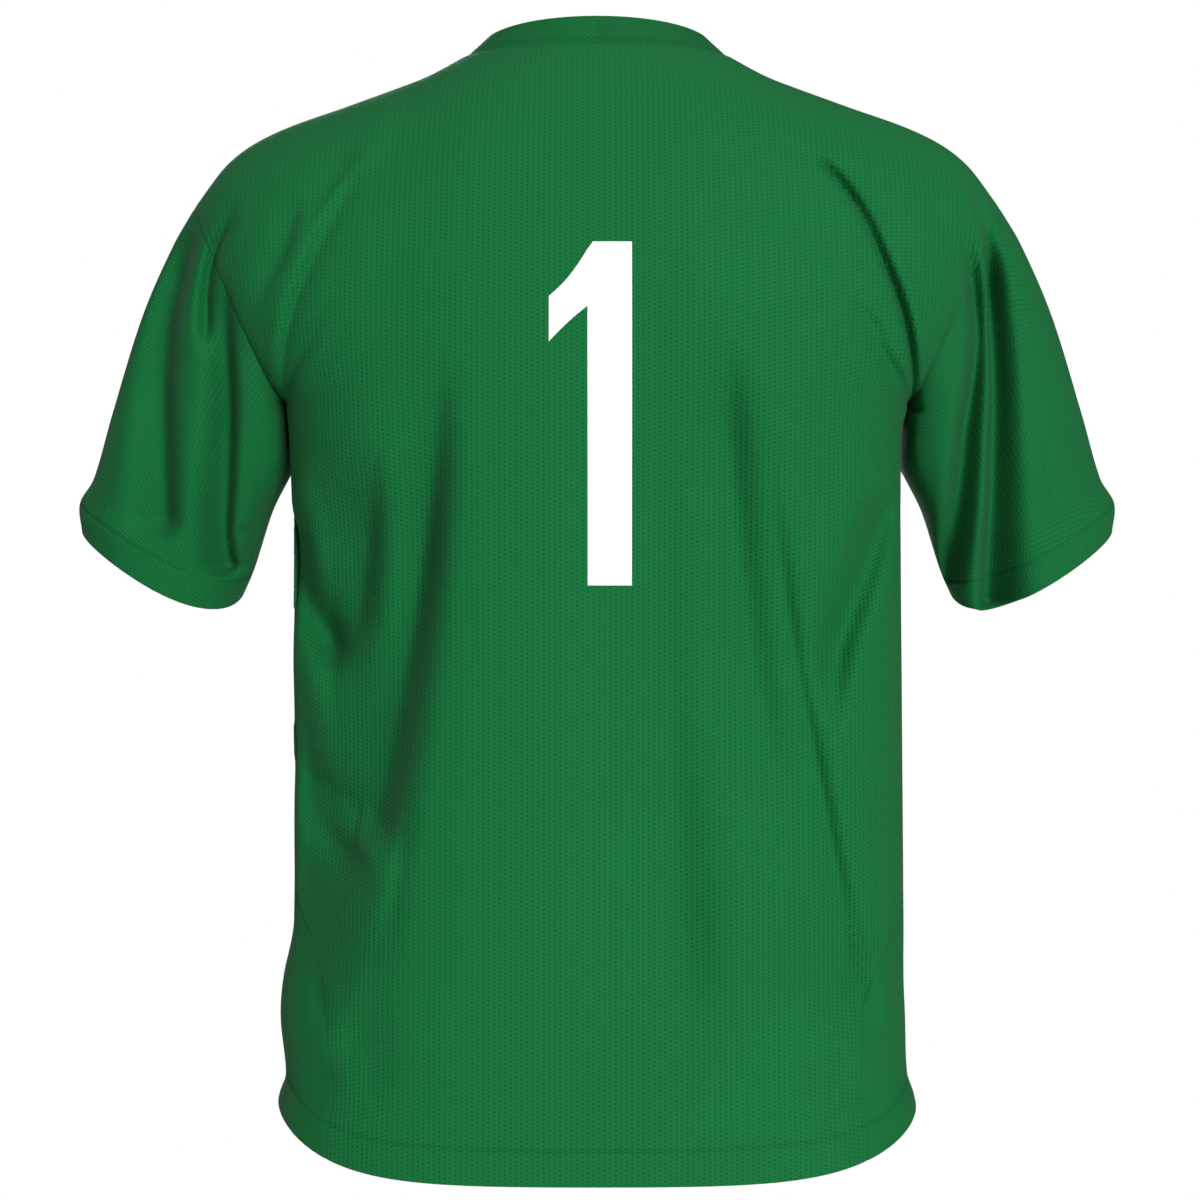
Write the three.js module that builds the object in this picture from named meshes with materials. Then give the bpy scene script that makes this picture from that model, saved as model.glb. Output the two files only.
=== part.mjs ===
// Goalkeeper smock: a short-sleeved knitted jersey that keeps the hollow form of a general wearer.
// Millimetres, +Z up. The back faces +Y, the front -Y, and the wearer's left arm is at +X.
// The origin lies on the centre line, between the two points where the neck meets the shoulders.
import * as THREE from 'three';

// Cloth
const clothThickness = 1.2;
const hemThickness = 2.2;
const neckbandThickness = 2;
const numberThickness = 0.8;
const numberLift = 0.5;
const seamGap = 0.3;
const hemDepth = 20;
const hemStep = 3;

// Neck: a crew neck, with a knitted band that leans in over the opening
const neckHalfWidth = 89;
const neckPointHeight = 4.5;
const ridgeY = -8;
const backNeckY = 58;
const backNeckHeight = 1;
const frontNeckY = -84;
const frontNeckHeight = -86;
const neckbandHeight = 19;
const neckbandLean = { centre: 0.3, side: 1.1 };
const neckDropPower = 1.8;
const neckShare = 0.26;

// Body
const bodyPower = 2.7;
const archPower = 2.2;
const underarmHeight = -229;
const hemHeight = { centre: -717.5, side: -687 };
const hemCornerPower = 4.2;
const armholeBackY = 72;
const armholeFrontY = -78;
const armholeClosing = 0.42;
const underarmBack = 0.92;
const underarmFront = 1.12;
const sleeveClearance = 2.6;
const ridgeFade = 8;

const bodySections = [
  { height: -718, halfWidth: 213, back: 128, front: 130 },
  { height: -698, halfWidth: 212, back: 127, front: 130 },
  { height: -684, halfWidth: 210, back: 126, front: 129 },
  { height: -670, halfWidth: 206.5, back: 124, front: 129 },
  { height: -632, halfWidth: 206.5, back: 124, front: 130 },
  { height: -568, halfWidth: 203, back: 124, front: 132 },
  { height: -430, halfWidth: 202.5, back: 122, front: 134 },
  { height: -300, halfWidth: 202, back: 128, front: 132 },
  { height: -245, halfWidth: 204.5, back: 132.6, front: 128.5 },
  { height: -229, halfWidth: 207, back: 133, front: 128 },
];

const shoulderLine = [
  { across: 89, height: 4.5 },
  { across: 104, height: -5.5 },
  { across: 128, height: -15 },
  { across: 163, height: -27.5 },
  { across: 216, height: -46.5 },
  { across: 245, height: -65 },
  { across: 269, height: -95 },
];

// The insert is narrow up to the armhole and widens over the lowest part of the side.
const insertSections = [
  { height: -717, backEdge: 0.53, frontEdge: 1.44 },
  { height: -660, backEdge: 0.535, frontEdge: 1.43 },
  { height: -615, backEdge: 0.55, frontEdge: 1.4 },
  { height: -592, backEdge: 0.6, frontEdge: 1.36 },
  { height: -566, backEdge: 0.8, frontEdge: 1.29 },
  { height: -530, backEdge: 0.98, frontEdge: 1.24 },
  { height: -500, backEdge: 1.03, frontEdge: 1.22 },
  { height: -290, backEdge: 1.02, frontEdge: 1.2 },
  { height: underarmHeight, backEdge: underarmBack, frontEdge: underarmFront },
];

// Sleeve sections from the armhole to the edge of the cuff, each a ring between its inner and outer points
const sleeveSections = [
  { reach: 0, innerX: 207, innerZ: -229, outerX: 269, outerZ: -95, centreY: -3, depth: 75, drop: 0 },
  { reach: 0.12, innerX: 206, innerZ: -243, outerX: 284, outerZ: -119, centreY: -5, depth: 71, drop: 0 },
  { reach: 0.34, innerX: 206, innerZ: -268, outerX: 306, outerZ: -166, centreY: -11, depth: 67, drop: 3 },
  { reach: 0.6, innerX: 221, innerZ: -299, outerX: 328, outerZ: -230, centreY: -22, depth: 64, drop: 8 },
  { reach: 0.8, innerX: 231, innerZ: -326, outerX: 343, outerZ: -274, centreY: -32, depth: 60, drop: 12 },
  { reach: 0.89, innerX: 236, innerZ: -339, outerX: 353, outerZ: -290, centreY: -37, depth: 60, drop: 15 },
  { reach: 1, innerX: 243, innerZ: -353, outerX: 353, outerZ: -308, centreY: -42, depth: 62, drop: 18 },
];

// The crease that runs from each armpit up over the shoulder blade, seen from behind or from the front
const armpitCrease = [
  { across: 206, height: -229, blend: 5, depth: 0 },
  { across: 202, height: -205, blend: 8, depth: 4 },
  { across: 197, height: -186, blend: 11, depth: 7 },
  { across: 190, height: -164, blend: 14, depth: 8 },
  { across: 178, height: -132, blend: 18, depth: 8 },
  { across: 163, height: -100, blend: 24, depth: 6 },
  { across: 137, height: -55, blend: 30, depth: 0 },
  { across: 104, height: -14, blend: 30, depth: 0 },
];

// Large folds: each runs in a bowed line between two places. It is a ridge where its depth is negative.
const folds = [
  { side: 'back', fromX: 102, fromZ: -215, toX: 158, toZ: -540, bow: 8, depth: 10, width: 19 },
  { side: 'back', fromX: 118, fromZ: -470, toX: 170, toZ: -642, bow: -6, depth: -3, width: 11 },
  { side: 'back', fromX: 140, fromZ: -262, toX: 164, toZ: -460, bow: 3, depth: 7, width: 15 },
  { side: 'back', fromX: 204, fromZ: -290, toX: 160, toZ: -402, bow: 8, depth: 10, width: 13 },
  { side: 'back', fromX: 200, fromZ: -410, toX: 154, toZ: -528, bow: 10, depth: 8, width: 13 },
  { side: 'back', fromX: 182, fromZ: -500, toX: 192, toZ: -630, bow: 0, depth: 9, width: 26 },
  { side: 'back', fromX: -80, fromZ: -200, toX: -124, toZ: -545, bow: 4, depth: 8, width: 17 },
  { side: 'back', fromX: -104, fromZ: -250, toX: -184, toZ: -662, bow: 8, depth: 6, width: 17 },
  { side: 'back', fromX: -32, fromZ: -130, toX: -52, toZ: -570, bow: 2, depth: 3, width: 22 },
  { side: 'back', fromX: -188, fromZ: -300, toX: -148, toZ: -450, bow: -8, depth: 8, width: 11 },
  { side: 'front', fromX: 88, fromZ: -225, toX: 134, toZ: -500, bow: 4, depth: 8, width: 16 },
  { side: 'front', fromX: 122, fromZ: -505, toX: 168, toZ: -650, bow: -3, depth: -3, width: 12 },
  { side: 'front', fromX: 42, fromZ: -310, toX: 60, toZ: -605, bow: 2, depth: 4, width: 22 },
  { side: 'front', fromX: -86, fromZ: -220, toX: -130, toZ: -525, bow: -3, depth: 8, width: 17 },
  { side: 'front', fromX: -132, fromZ: -310, toX: -182, toZ: -625, bow: -4, depth: 4, width: 15 },
  { side: 'back', fromX: 238, fromZ: -150, toX: 256, toZ: -335, bow: -2, depth: 9, width: 10 },
  { side: 'back', fromX: 268, fromZ: -120, toX: 296, toZ: -318, bow: -6, depth: 9, width: 13 },
  { side: 'back', fromX: -256, fromZ: -122, toX: -266, toZ: -350, bow: 2, depth: 10, width: 10 },
  { side: 'back', fromX: -236, fromZ: -132, toX: -234, toZ: -340, bow: 8, depth: 8, width: 10 },
  { side: 'front', fromX: 232, fromZ: -108, toX: 255, toZ: -310, bow: -6, depth: 7, width: 11 },
  { side: 'front', fromX: -254, fromZ: -120, toX: -279, toZ: -295, bow: 3, depth: 8, width: 11 },
];
const sharpestLift = 0.5;
const foldSteps = 10;
const foldTaper = 0.3;
const foldFacing = 0.45;

// Number on the back: a stem with a curved flag at its head
const numberStem = { left: -21.6, right: 5.7, bottom: -349, top: -138, headRight: 2.9 };
const numberFlag = { right: 29.3, tipTop: -172, tipBottom: -200, notch: -178, upperSag: 3.5, lowerSag: -1 };
const numberRows = { stem: 10, head: 4 };
const numberColumns = { stem: 3, flag: 4 };

// How finely each piece is divided
const neckStations = [0, 0.22, 0.46, 0.74, 1];
const shoulderStations = [0.17, 0.34, 0.46, 0.56, 0.64, 0.71, 0.78, 0.84, 0.89, 0.94, 1];
const upperRows = 12;
const lowerRows = [0, hemDepth, hemDepth + hemStep, 62, 94, 130, 182, 236, 290, 340, 384, 418, 440, 451];
const insertColumns = 5;
const sleeveReaches = [0, 0.035, 0.1, 0.22, 0.4, 0.6, 0.82, 0.88, 1];
const neckbandRows = 2;
const weldDistance = 0.01;
const searchSteps = 40;
const probeStep = 1;

const clothRoughness = 0.75;
const numberRoughness = 0.5;
const shirtGreen = 0x20693c;
const insertGreen = 0x1c6236;
const bandGreen = 0x1f6a3b;
const numberWhite = 0xf6f5f1;

const clamp01 = (value) => Math.min(1, Math.max(0, value));
const mix = (from, to, share) => from + (to - from) * share;
const smooth = (share) => clamp01(share) ** 2 * (3 - 2 * clamp01(share));

// Reads a table of named columns at a place along one of them, easing through the rows
function readTable(table, key, place) {
  const last = table.length - 1;
  const rising = table[last][key] > table[0][key];
  const passed = (row) => (rising ? row[key] <= place : row[key] >= place);
  let index = 0;
  while (index < last - 1 && passed(table[index + 1])) index += 1;
  const span = table[index + 1][key] - table[index][key];
  const share = clamp01((place - table[index][key]) / span);
  const slope = (row, column) => {
    const before = table[Math.max(row - 1, 0)];
    const after = table[Math.min(row + 1, last)];
    return ((after[column] - before[column]) / (after[key] - before[key])) * span;
  };
  const reading = {};
  for (const column of Object.keys(table[0])) {
    const start = table[index][column];
    const end = table[index + 1][column];
    const startSlope = slope(index, column);
    const endSlope = slope(index + 1, column);
    reading[column] = start * (2 * share ** 3 - 3 * share ** 2 + 1)
      + startSlope * (share ** 3 - 2 * share ** 2 + share)
      + end * (3 * share ** 2 - 2 * share ** 3)
      + endSlope * (share ** 3 - share ** 2);
  }
  return reading;
}

// A place round the body: 0 is the middle of the back, 1 and 3 the sides, 2 the middle of the front
function bodyRing(place, height) {
  const section = readTable(bodySections, 'height', height);
  const angle = place * Math.PI / 2;
  const power = 2 / bodyPower;
  const x = section.halfWidth * Math.sign(Math.sin(angle)) * Math.abs(Math.sin(angle)) ** power;
  const depth = Math.cos(angle) > 0 ? section.back : -section.front;
  return new THREE.Vector3(x, depth * Math.abs(Math.cos(angle)) ** power, height);
}

// A point below the armholes: rise goes from 0 at the hem to 1 at the underarm
function lowerBody(place, rise) {
  const sideways = Math.sin(place * Math.PI / 2) ** hemCornerPower;
  const bottom = mix(hemHeight.centre, hemHeight.side, sideways);
  return bodyRing(place, mix(bottom, underarmHeight, rise));
}

function insertEdges(rise) {
  return readTable(insertSections, 'height', mix(hemHeight.side, underarmHeight, rise));
}

// Where a column of the upper body ends: on the neck seam or on the shoulder seam
function topEdge(isBack, share) {
  if (share <= neckShare) {
    const angle = (share / neckShare) * Math.PI / 2;
    const neckY = isBack ? backNeckY : frontNeckY;
    const neckZ = isBack ? backNeckHeight : frontNeckHeight;
    return new THREE.Vector3(
      neckHalfWidth * Math.sin(angle),
      mix(ridgeY, neckY, Math.cos(angle)),
      mix(neckPointHeight, neckZ, Math.cos(angle) ** neckDropPower),
    );
  }
  const shoulderEnd = shoulderLine[shoulderLine.length - 1].across;
  const across = mix(neckHalfWidth, shoulderEnd, (share - neckShare) / (1 - neckShare));
  return new THREE.Vector3(across, ridgeY, readTable(shoulderLine, 'across', across).height);
}

function archDepth(bottomY, topY, rise) {
  const reach = bottomY - ridgeY;
  const left = clamp01((topY - ridgeY) / reach);
  return ridgeY + reach * (1 - rise ** archPower * (1 - left ** archPower)) ** (1 / archPower);
}

// Signed distance to the armpit crease in the plane of the view, positive on the sleeve's side of it
function creaseAt(across, height) {
  let nearest = { distance: Infinity };
  for (let index = 0; index < armpitCrease.length - 1; index += 1) {
    const from = armpitCrease[index];
    const to = armpitCrease[index + 1];
    const runX = to.across - from.across;
    const runZ = to.height - from.height;
    const offX = across - from.across;
    const offZ = height - from.height;
    const along = clamp01((offX * runX + offZ * runZ) / (runX ** 2 + runZ ** 2));
    const distance = Math.hypot(offX - runX * along, offZ - runZ * along);
    if (distance < Math.abs(nearest.distance)) {
      const sign = Math.sign(offX * runZ - offZ * runX) || 1;
      const blend = mix(from.blend, to.blend, along);
      nearest = { distance: distance * sign, blend, depth: mix(from.depth, to.depth, along) };
    }
  }
  return nearest;
}

// A point above the armholes: share is 1 at the armhole, and rise goes from 0 at the underarm to 1 on top
function upperBody(isBack, share, rise) {
  const place = isBack ? share * underarmBack : 2 - share * (2 - underarmFront);
  const bottom = bodyRing(place, underarmHeight);
  const top = topEdge(isBack, share);
  const x = mix(bottom.x, top.x, rise);
  const z = mix(bottom.z, top.z, rise);
  const armholeY = isBack ? armholeBackY : armholeFrontY;
  const middleY = bodyRing(isBack ? 0 : 2, underarmHeight).y;
  const rollY = mix(armholeY, middleY, Math.cos(share * Math.PI / 2) ** (2 / bodyPower));
  const bodyY = archDepth(bottom.y, top.y, rise);
  const closing = Math.sqrt(1 - (1 - clamp01(rise / armholeClosing)) ** 2);
  const sleeveSideY = mix(bodyY, archDepth(rollY, top.y, rise), closing);
  const crease = creaseAt(x, z);
  const y = mix(bodyY, sleeveSideY, smooth(0.5 + crease.distance / (2 * crease.blend)));
  const fade = (1 - rise ** ridgeFade) * Math.exp(-((crease.distance / crease.blend) ** 2));
  return new THREE.Vector3(x, y - Math.sign(armholeY) * crease.depth * fade, z);
}

// Shared seam points: pieces that meet use the same vertex, so their seams and normals match
const seamPoints = new Map();

function vertexAt(point) {
  const key = point.toArray().map((value) => Math.round(value / weldDistance)).join(' ');
  if (!seamPoints.has(key)) {
    seamPoints.set(key, { point: point.clone(), normal: new THREE.Vector3(), lift: 1 });
  }
  return seamPoints.get(key);
}

const mirrored = (point) => new THREE.Vector3(-point.x, point.y, point.z);
const shareStations = [
  ...neckStations.map((station) => station * neckShare),
  ...shoulderStations.map((station) => mix(neckShare, 1, station)),
];
const lowerRises = lowerRows.map((above) => above / (underarmHeight - hemHeight.side));
const upperRises = [];
for (let row = 1; row <= upperRows; row += 1) {
  upperRises.push((1 - Math.cos(Math.PI * row / upperRows)) / 2);
}

// Back or front panel, as rows from the hem to the neck and shoulders, columns in order round the body
function panelGrid(isBack) {
  const shares = [...shareStations.slice(1).reverse().map((share) => -share), ...shareStations];
  const ordered = isBack ? shares : shares.map((share) => -share);
  const rows = [...lowerRises, 1].map((rise) => ordered.map((share) => {
    const edges = insertEdges(rise);
    const place = isBack ? Math.abs(share) * edges.backEdge : 2 - Math.abs(share) * (2 - edges.frontEdge);
    const point = lowerBody(place, rise);
    return vertexAt(share < 0 ? mirrored(point) : point);
  }));
  for (const rise of upperRises) {
    rows.push(ordered.map((share) => {
      const point = upperBody(isBack, Math.abs(share), rise);
      return vertexAt(share < 0 ? mirrored(point) : point);
    }));
  }
  return rows;
}

function insertGrid(isLeft) {
  return [...lowerRises, 1].map((rise) => {
    const edges = insertEdges(rise);
    const row = [];
    for (let column = 0; column <= insertColumns; column += 1) {
      const point = lowerBody(mix(edges.backEdge, edges.frontEdge, column / insertColumns), rise);
      row.push(vertexAt(isLeft ? point : mirrored(point)));
    }
    return isLeft ? row : row.reverse();
  });
}

function sleeveRing(reach, angle) {
  const section = readTable(sleeveSections, 'reach', reach);
  const along = (1 + Math.cos(angle)) / 2;
  return new THREE.Vector3(
    mix(section.innerX, section.outerX, along),
    section.centreY + section.depth * Math.sin(angle),
    mix(section.innerZ, section.outerZ, along) - section.drop * Math.sin(angle),
  );
}

// Keeps the sleeve just clear of the body's side below the armpit
function clearOfBody(point) {
  if (point.z >= underarmHeight) return point;
  const section = readTable(bodySections, 'height', point.z);
  const depth = point.y > 0 ? section.back : section.front;
  const sideShare = 1 - clamp01(Math.abs(point.y) / depth) ** bodyPower;
  const opening = sleeveClearance * smooth((underarmHeight - point.z) / (2 * sleeveClearance));
  point.x = Math.max(point.x, section.halfWidth * sideShare ** (1 / bodyPower) + opening);
  return point;
}

// Sleeve rings start on the armhole, over the shoulder end, down the back, under the arm and up the front
function sleeveGrid(isLeft) {
  const armhole = [];
  const placeOn = (angle, point) => armhole.push({ angle, point });
  const armholeDepth = sleeveSections[0].depth;
  const backStart = Math.sqrt(1 - (bodyRing(underarmBack, underarmHeight).y / armholeDepth) ** 2);
  for (const rise of [...upperRises].reverse()) {
    placeOn(Math.acos(mix(-backStart, 1, rise)), upperBody(true, 1, rise));
  }
  for (let column = 0; column <= insertColumns; column += 1) {
    const point = lowerBody(mix(underarmBack, underarmFront, column / insertColumns), 1);
    placeOn(Math.PI + Math.asin(-point.y / armholeDepth), point);
  }
  const frontStart = Math.cos(armhole[armhole.length - 1].angle);
  for (const rise of upperRises.slice(0, -1)) {
    placeOn(2 * Math.PI - Math.acos(mix(frontStart, 1, rise)), upperBody(false, 1, rise));
  }
  const rows = sleeveReaches.map((reach) => armhole.map(({ angle, point }) => {
    const offset = point.clone().sub(sleeveRing(0, angle)).multiplyScalar(1 - smooth(reach));
    const place = reach === 0 ? point.clone() : clearOfBody(sleeveRing(reach, angle).add(offset));
    return vertexAt(isLeft ? place : mirrored(place));
  }));
  return isLeft ? rows : rows.map((row) => row.reverse());
}

function neckbandGrid() {
  const seam = [];
  const half = neckStations.slice(1).map((station) => station * neckShare);
  for (const share of [...half].reverse()) seam.push(mirrored(topEdge(true, share)));
  for (const share of [0, ...half]) seam.push(topEdge(true, share));
  for (const share of [...half].slice(0, -1).reverse()) seam.push(topEdge(false, share));
  for (const share of [0, ...half.slice(0, -1)]) seam.push(mirrored(topEdge(false, share)));
  const rises = seam.map((point, index) => {
    const before = seam[(index + seam.length - 1) % seam.length];
    const after = seam[(index + 1) % seam.length];
    const along = after.clone().sub(before).normalize();
    const lean = mix(neckbandLean.centre, neckbandLean.side, Math.abs(point.x) / neckHalfWidth);
    const rise = new THREE.Vector3(-point.x, ridgeY - point.y, 0).normalize().multiplyScalar(lean);
    rise.z = 1;
    return rise.addScaledVector(along, -rise.dot(along)).normalize();
  });
  const rows = [];
  for (let row = 0; row <= neckbandRows; row += 1) {
    const height = neckbandHeight * row / neckbandRows;
    rows.push(seam.map((point, index) => vertexAt(point.clone().addScaledVector(rises[index], height))));
  }
  return rows;
}

// Walks every cell of a grid that exists, with its four corners
function eachCell(grid, wraps, exists, visit) {
  const columns = grid[0].length;
  for (let row = 0; row < grid.length - 1; row += 1) {
    for (let column = 0; column < (wraps ? columns : columns - 1); column += 1) {
      if (exists(row, column)) visit(row, column, (column + 1) % columns);
    }
  }
}

// Splits a cell along its shorter diagonal
function splitCell(corners) {
  const straight = corners[0].distanceTo(corners[2]) <= corners[1].distanceTo(corners[3]);
  return straight ? [[0, 1, 2], [0, 2, 3]] : [[0, 1, 3], [1, 2, 3]];
}

function faceNormals(pieces) {
  const vertices = new Set(pieces.flatMap((piece) => piece.grid.flat()));
  const faces = [];
  for (const { grid, wraps } of pieces) {
    eachCell(grid, wraps, () => true, (row, column, next) => {
      const corners = [grid[row][column], grid[row + 1][column], grid[row + 1][next], grid[row][next]];
      for (const three of splitCell(corners.map((vertex) => vertex.point))) {
        faces.push(three.map((index) => corners[index]));
      }
    });
  }
  const facing = faces.map((face) => {
    const [first, second, third] = face.map((vertex) => vertex.point);
    const side = second.clone().sub(first);
    return side.cross(third.clone().sub(first)).normalize();
  });
  for (const vertex of vertices) vertex.normal.set(0, 0, 0);
  faces.forEach((face, index) => face.forEach((vertex, corner) => {
    const toNext = face[(corner + 1) % 3].point.clone().sub(vertex.point);
    const toLast = face[(corner + 2) % 3].point.clone().sub(vertex.point);
    vertex.normal.addScaledVector(facing[index], toNext.angleTo(toLast));
  }));
  for (const vertex of vertices) {
    vertex.normal.normalize();
    vertex.lift = 1;
  }
  faces.forEach((face, index) => face.forEach((vertex) => {
    vertex.lift = Math.min(vertex.lift, Math.max(vertex.normal.dot(facing[index]), sharpestLift));
  }));
  return vertices;
}

function foldDepth(vertex) {
  const { point, normal } = vertex;
  let depth = 0;
  for (const fold of folds) {
    const facing = smooth((fold.side === 'back' ? normal.y : -normal.y) / foldFacing);
    const runX = fold.toX - fold.fromX;
    const runZ = fold.toZ - fold.fromZ;
    const length = Math.hypot(runX, runZ);
    let nearest = { distance: Infinity, along: 0 };
    for (let step = 0; step <= foldSteps; step += 1) {
      const along = step / foldSteps;
      const bow = fold.bow * Math.sin(Math.PI * along);
      const x = fold.fromX + runX * along - bow * runZ / length;
      const z = fold.fromZ + runZ * along + bow * runX / length;
      const distance = Math.hypot(point.x - x, point.z - z);
      if (distance < nearest.distance) nearest = { distance, along };
    }
    const taper = smooth(nearest.along / foldTaper) * smooth((1 - nearest.along) / foldTaper);
    depth += fold.depth * facing * taper * Math.exp(-((nearest.distance / fold.width) ** 2));
  }
  return depth;
}

// Turns a grid of outer and inner points into one closed wall
function wallGeometry(outer, inner, wraps, exists = () => true) {
  const rows = outer.length;
  const columns = outer[0].length;
  const indexOf = new Map();
  const positions = [];
  const triangles = [];
  const pointAt = (layer, row, column) => {
    const key = `${layer} ${row} ${column}`;
    if (!indexOf.has(key)) {
      indexOf.set(key, positions.length / 3);
      positions.push(...pointOf(layer, row, column).toArray());
    }
    return indexOf.get(key);
  };
  const pointOf = (layer, row, column) => (layer === 'outer' ? outer : inner)[row][column];
  const rim = (rowA, columnA, rowB, columnB) => {
    const corners = [
      ['outer', rowA, columnA],
      ['outer', rowB, columnB],
      ['inner', rowB, columnB],
      ['inner', rowA, columnA],
    ];
    for (const three of splitCell(corners.map((corner) => pointOf(...corner)))) {
      triangles.push(...three.map((corner) => pointAt(...corners[corner])));
    }
  };
  const filled = (row, column) => {
    const wrapped = wraps ? (column + columns) % columns : column;
    const lastColumn = wraps ? columns : columns - 1;
    return row >= 0 && row < rows - 1 && wrapped >= 0 && wrapped < lastColumn && exists(row, wrapped);
  };
  eachCell(outer, wraps, exists, (row, column, next) => {
    const corners = [[row, column], [row + 1, column], [row + 1, next], [row, next]];
    for (const three of splitCell(corners.map(([r, c]) => outer[r][c]))) {
      triangles.push(...three.map((corner) => pointAt('outer', ...corners[corner])));
      triangles.push(...three.reverse().map((corner) => pointAt('inner', ...corners[corner])));
    }
    if (!filled(row, column - 1)) rim(row + 1, column, row, column);
    if (!filled(row, column + 1)) rim(row, next, row + 1, next);
    if (!filled(row - 1, column)) rim(row, column, row, next);
    if (!filled(row + 1, column)) rim(row + 1, next, row + 1, column);
  });
  const geometry = new THREE.BufferGeometry();
  geometry.setAttribute('position', new THREE.Float32BufferAttribute(positions, 3));
  geometry.setIndex(triangles);
  return geometry;
}

// Pulls the sewn edges of a layer back by half of the seam gap, square to the seam
function drawBack(layer, sewn, wraps) {
  const last = { row: layer.length - 1, column: layer[0].length - 1 };
  const moved = layer.map((row) => row.map((point) => point.clone()));
  const pull = (place, inside, before, after) => {
    const seam = layer[after[0]][after[1]].clone().sub(layer[before[0]][before[1]]).normalize();
    const away = layer[inside[0]][inside[1]].clone().sub(layer[place[0]][place[1]]);
    away.addScaledVector(seam, -away.dot(seam)).normalize();
    moved[place[0]][place[1]].addScaledVector(away, seamGap / 2);
  };
  for (let column = 0; column <= last.column; column += 1) {
    const before = wraps ? (column + last.column) % (last.column + 1) : Math.max(column - 1, 0);
    const after = wraps ? (column + 1) % (last.column + 1) : Math.min(column + 1, last.column);
    if (sewn.bottom) pull([0, column], [1, column], [0, before], [0, after]);
    if (sewn.top) pull([last.row, column], [last.row - 1, column], [last.row, before], [last.row, after]);
  }
  for (let row = 0; sewn.sides && row <= last.row; row += 1) {
    const before = Math.max(row - 1, 0);
    const after = Math.min(row + 1, last.row);
    pull([row, 0], [row, 1], [before, 0], [after, 0]);
    pull([row, last.column], [row, last.column - 1], [before, last.column], [after, last.column]);
  }
  return moved;
}

function clothMesh(piece) {
  const { name, grid, wraps, sewn, thickness, colour } = piece;
  const outer = grid.map((row) => row.map((vertex) => vertex.point));
  const inner = grid.map((row, rowIndex) => row.map((vertex) => (
    vertex.point.clone().addScaledVector(vertex.normal, -thickness(rowIndex) / vertex.lift)
  )));
  const geometry = wallGeometry(drawBack(outer, sewn, wraps), drawBack(inner, sewn, wraps), wraps);
  return namedMesh(name, geometry, colour, clothRoughness);
}

function namedMesh(name, geometry, colour, roughness) {
  const material = new THREE.MeshStandardMaterial({ color: colour, roughness, metalness: 0 });
  const mesh = new THREE.Mesh(geometry, material);
  mesh.name = name;
  return mesh;
}

// A point of the back panel, found from how far across and how high it is
function backPointAt(across, height) {
  const side = Math.abs(across);
  let low = 0;
  let high = 1;
  let found = null;
  for (let step = 0; step < searchSteps; step += 1) {
    const share = (low + high) / 2;
    found = height <= underarmHeight
      ? bodyRing(share, height)
      : upperBody(true, share, (height - underarmHeight) / (topEdge(true, share).z - underarmHeight));
    if (found.x < side) low = share;
    else high = share;
  }
  return across < 0 ? mirrored(found) : found;
}

function numberMesh() {
  const flagWidth = numberFlag.right - numberStem.right;
  const neckline = numberStem.right - numberStem.headRight;
  const sagging = (from, to, along, sag) => mix(from, to, along) - sag * Math.sin(Math.PI * along);
  const topAt = (x) => {
    const along = clamp01((x - numberStem.headRight) / (flagWidth + neckline));
    return sagging(numberStem.top, numberFlag.tipTop, along, numberFlag.upperSag);
  };
  const notchAt = (x) => {
    const along = clamp01((x - numberStem.right) / flagWidth);
    return sagging(numberFlag.notch, numberFlag.tipBottom, along, numberFlag.lowerSag);
  };
  const across = [];
  for (let column = 0; column <= numberColumns.stem; column += 1) {
    across.push(mix(numberStem.left, numberStem.right, column / numberColumns.stem));
  }
  for (let column = 1; column <= numberColumns.flag; column += 1) {
    across.push(mix(numberStem.right, numberFlag.right, column / numberColumns.flag));
  }
  const rows = [];
  for (let row = 0; row <= numberRows.stem + numberRows.head; row += 1) {
    const belowNotch = row < numberRows.stem;
    rows.push(across.map((x) => {
      const height = belowNotch
        ? mix(numberStem.bottom, numberFlag.notch, row / numberRows.stem)
        : mix(notchAt(x), topAt(x), (row - numberRows.stem) / numberRows.head);
      return { x, height };
    }));
  }
  const layer = (lift) => rows.map((row) => row.map(({ x, height }) => {
    const point = backPointAt(x, height);
    const upward = backPointAt(x, height + probeStep).sub(point);
    const sideways = backPointAt(x + probeStep, height).sub(point);
    return point.addScaledVector(upward.cross(sideways).normalize(), lift);
  }));
  const exists = (row, column) => row >= numberRows.stem || column < numberColumns.stem;
  const geometry = wallGeometry(layer(numberLift + numberThickness), layer(numberLift), false, exists);
  return namedMesh('number_one', geometry, numberWhite, numberRoughness);
}

const hemmedBottom = (row) => (lowerRows[row] <= hemDepth ? hemThickness : clothThickness);
const hemmedCuff = (row) => (row >= sleeveReaches.length - 2 ? hemThickness : clothThickness);
const bandCloth = (row) => (row === 0 ? clothThickness : neckbandThickness);

const bodyWall = { thickness: hemmedBottom, sewn: { top: true, sides: true }, wraps: false };
const sleeveWall = { thickness: hemmedCuff, sewn: { bottom: true }, wraps: true };
const bandWall = { thickness: bandCloth, sewn: { bottom: true }, wraps: true };

const clothPieces = [
  { name: 'back_panel', grid: panelGrid(true), colour: shirtGreen, ...bodyWall },
  { name: 'front_panel', grid: panelGrid(false), colour: shirtGreen, ...bodyWall },
  { name: 'side_insert_left', grid: insertGrid(true), colour: insertGreen, ...bodyWall },
  { name: 'side_insert_right', grid: insertGrid(false), colour: insertGreen, ...bodyWall },
  { name: 'sleeve_left', grid: sleeveGrid(true), colour: shirtGreen, ...sleeveWall },
  { name: 'sleeve_right', grid: sleeveGrid(false), colour: shirtGreen, ...sleeveWall },
  { name: 'neckband', grid: neckbandGrid(), colour: bandGreen, ...bandWall },
];

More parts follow.
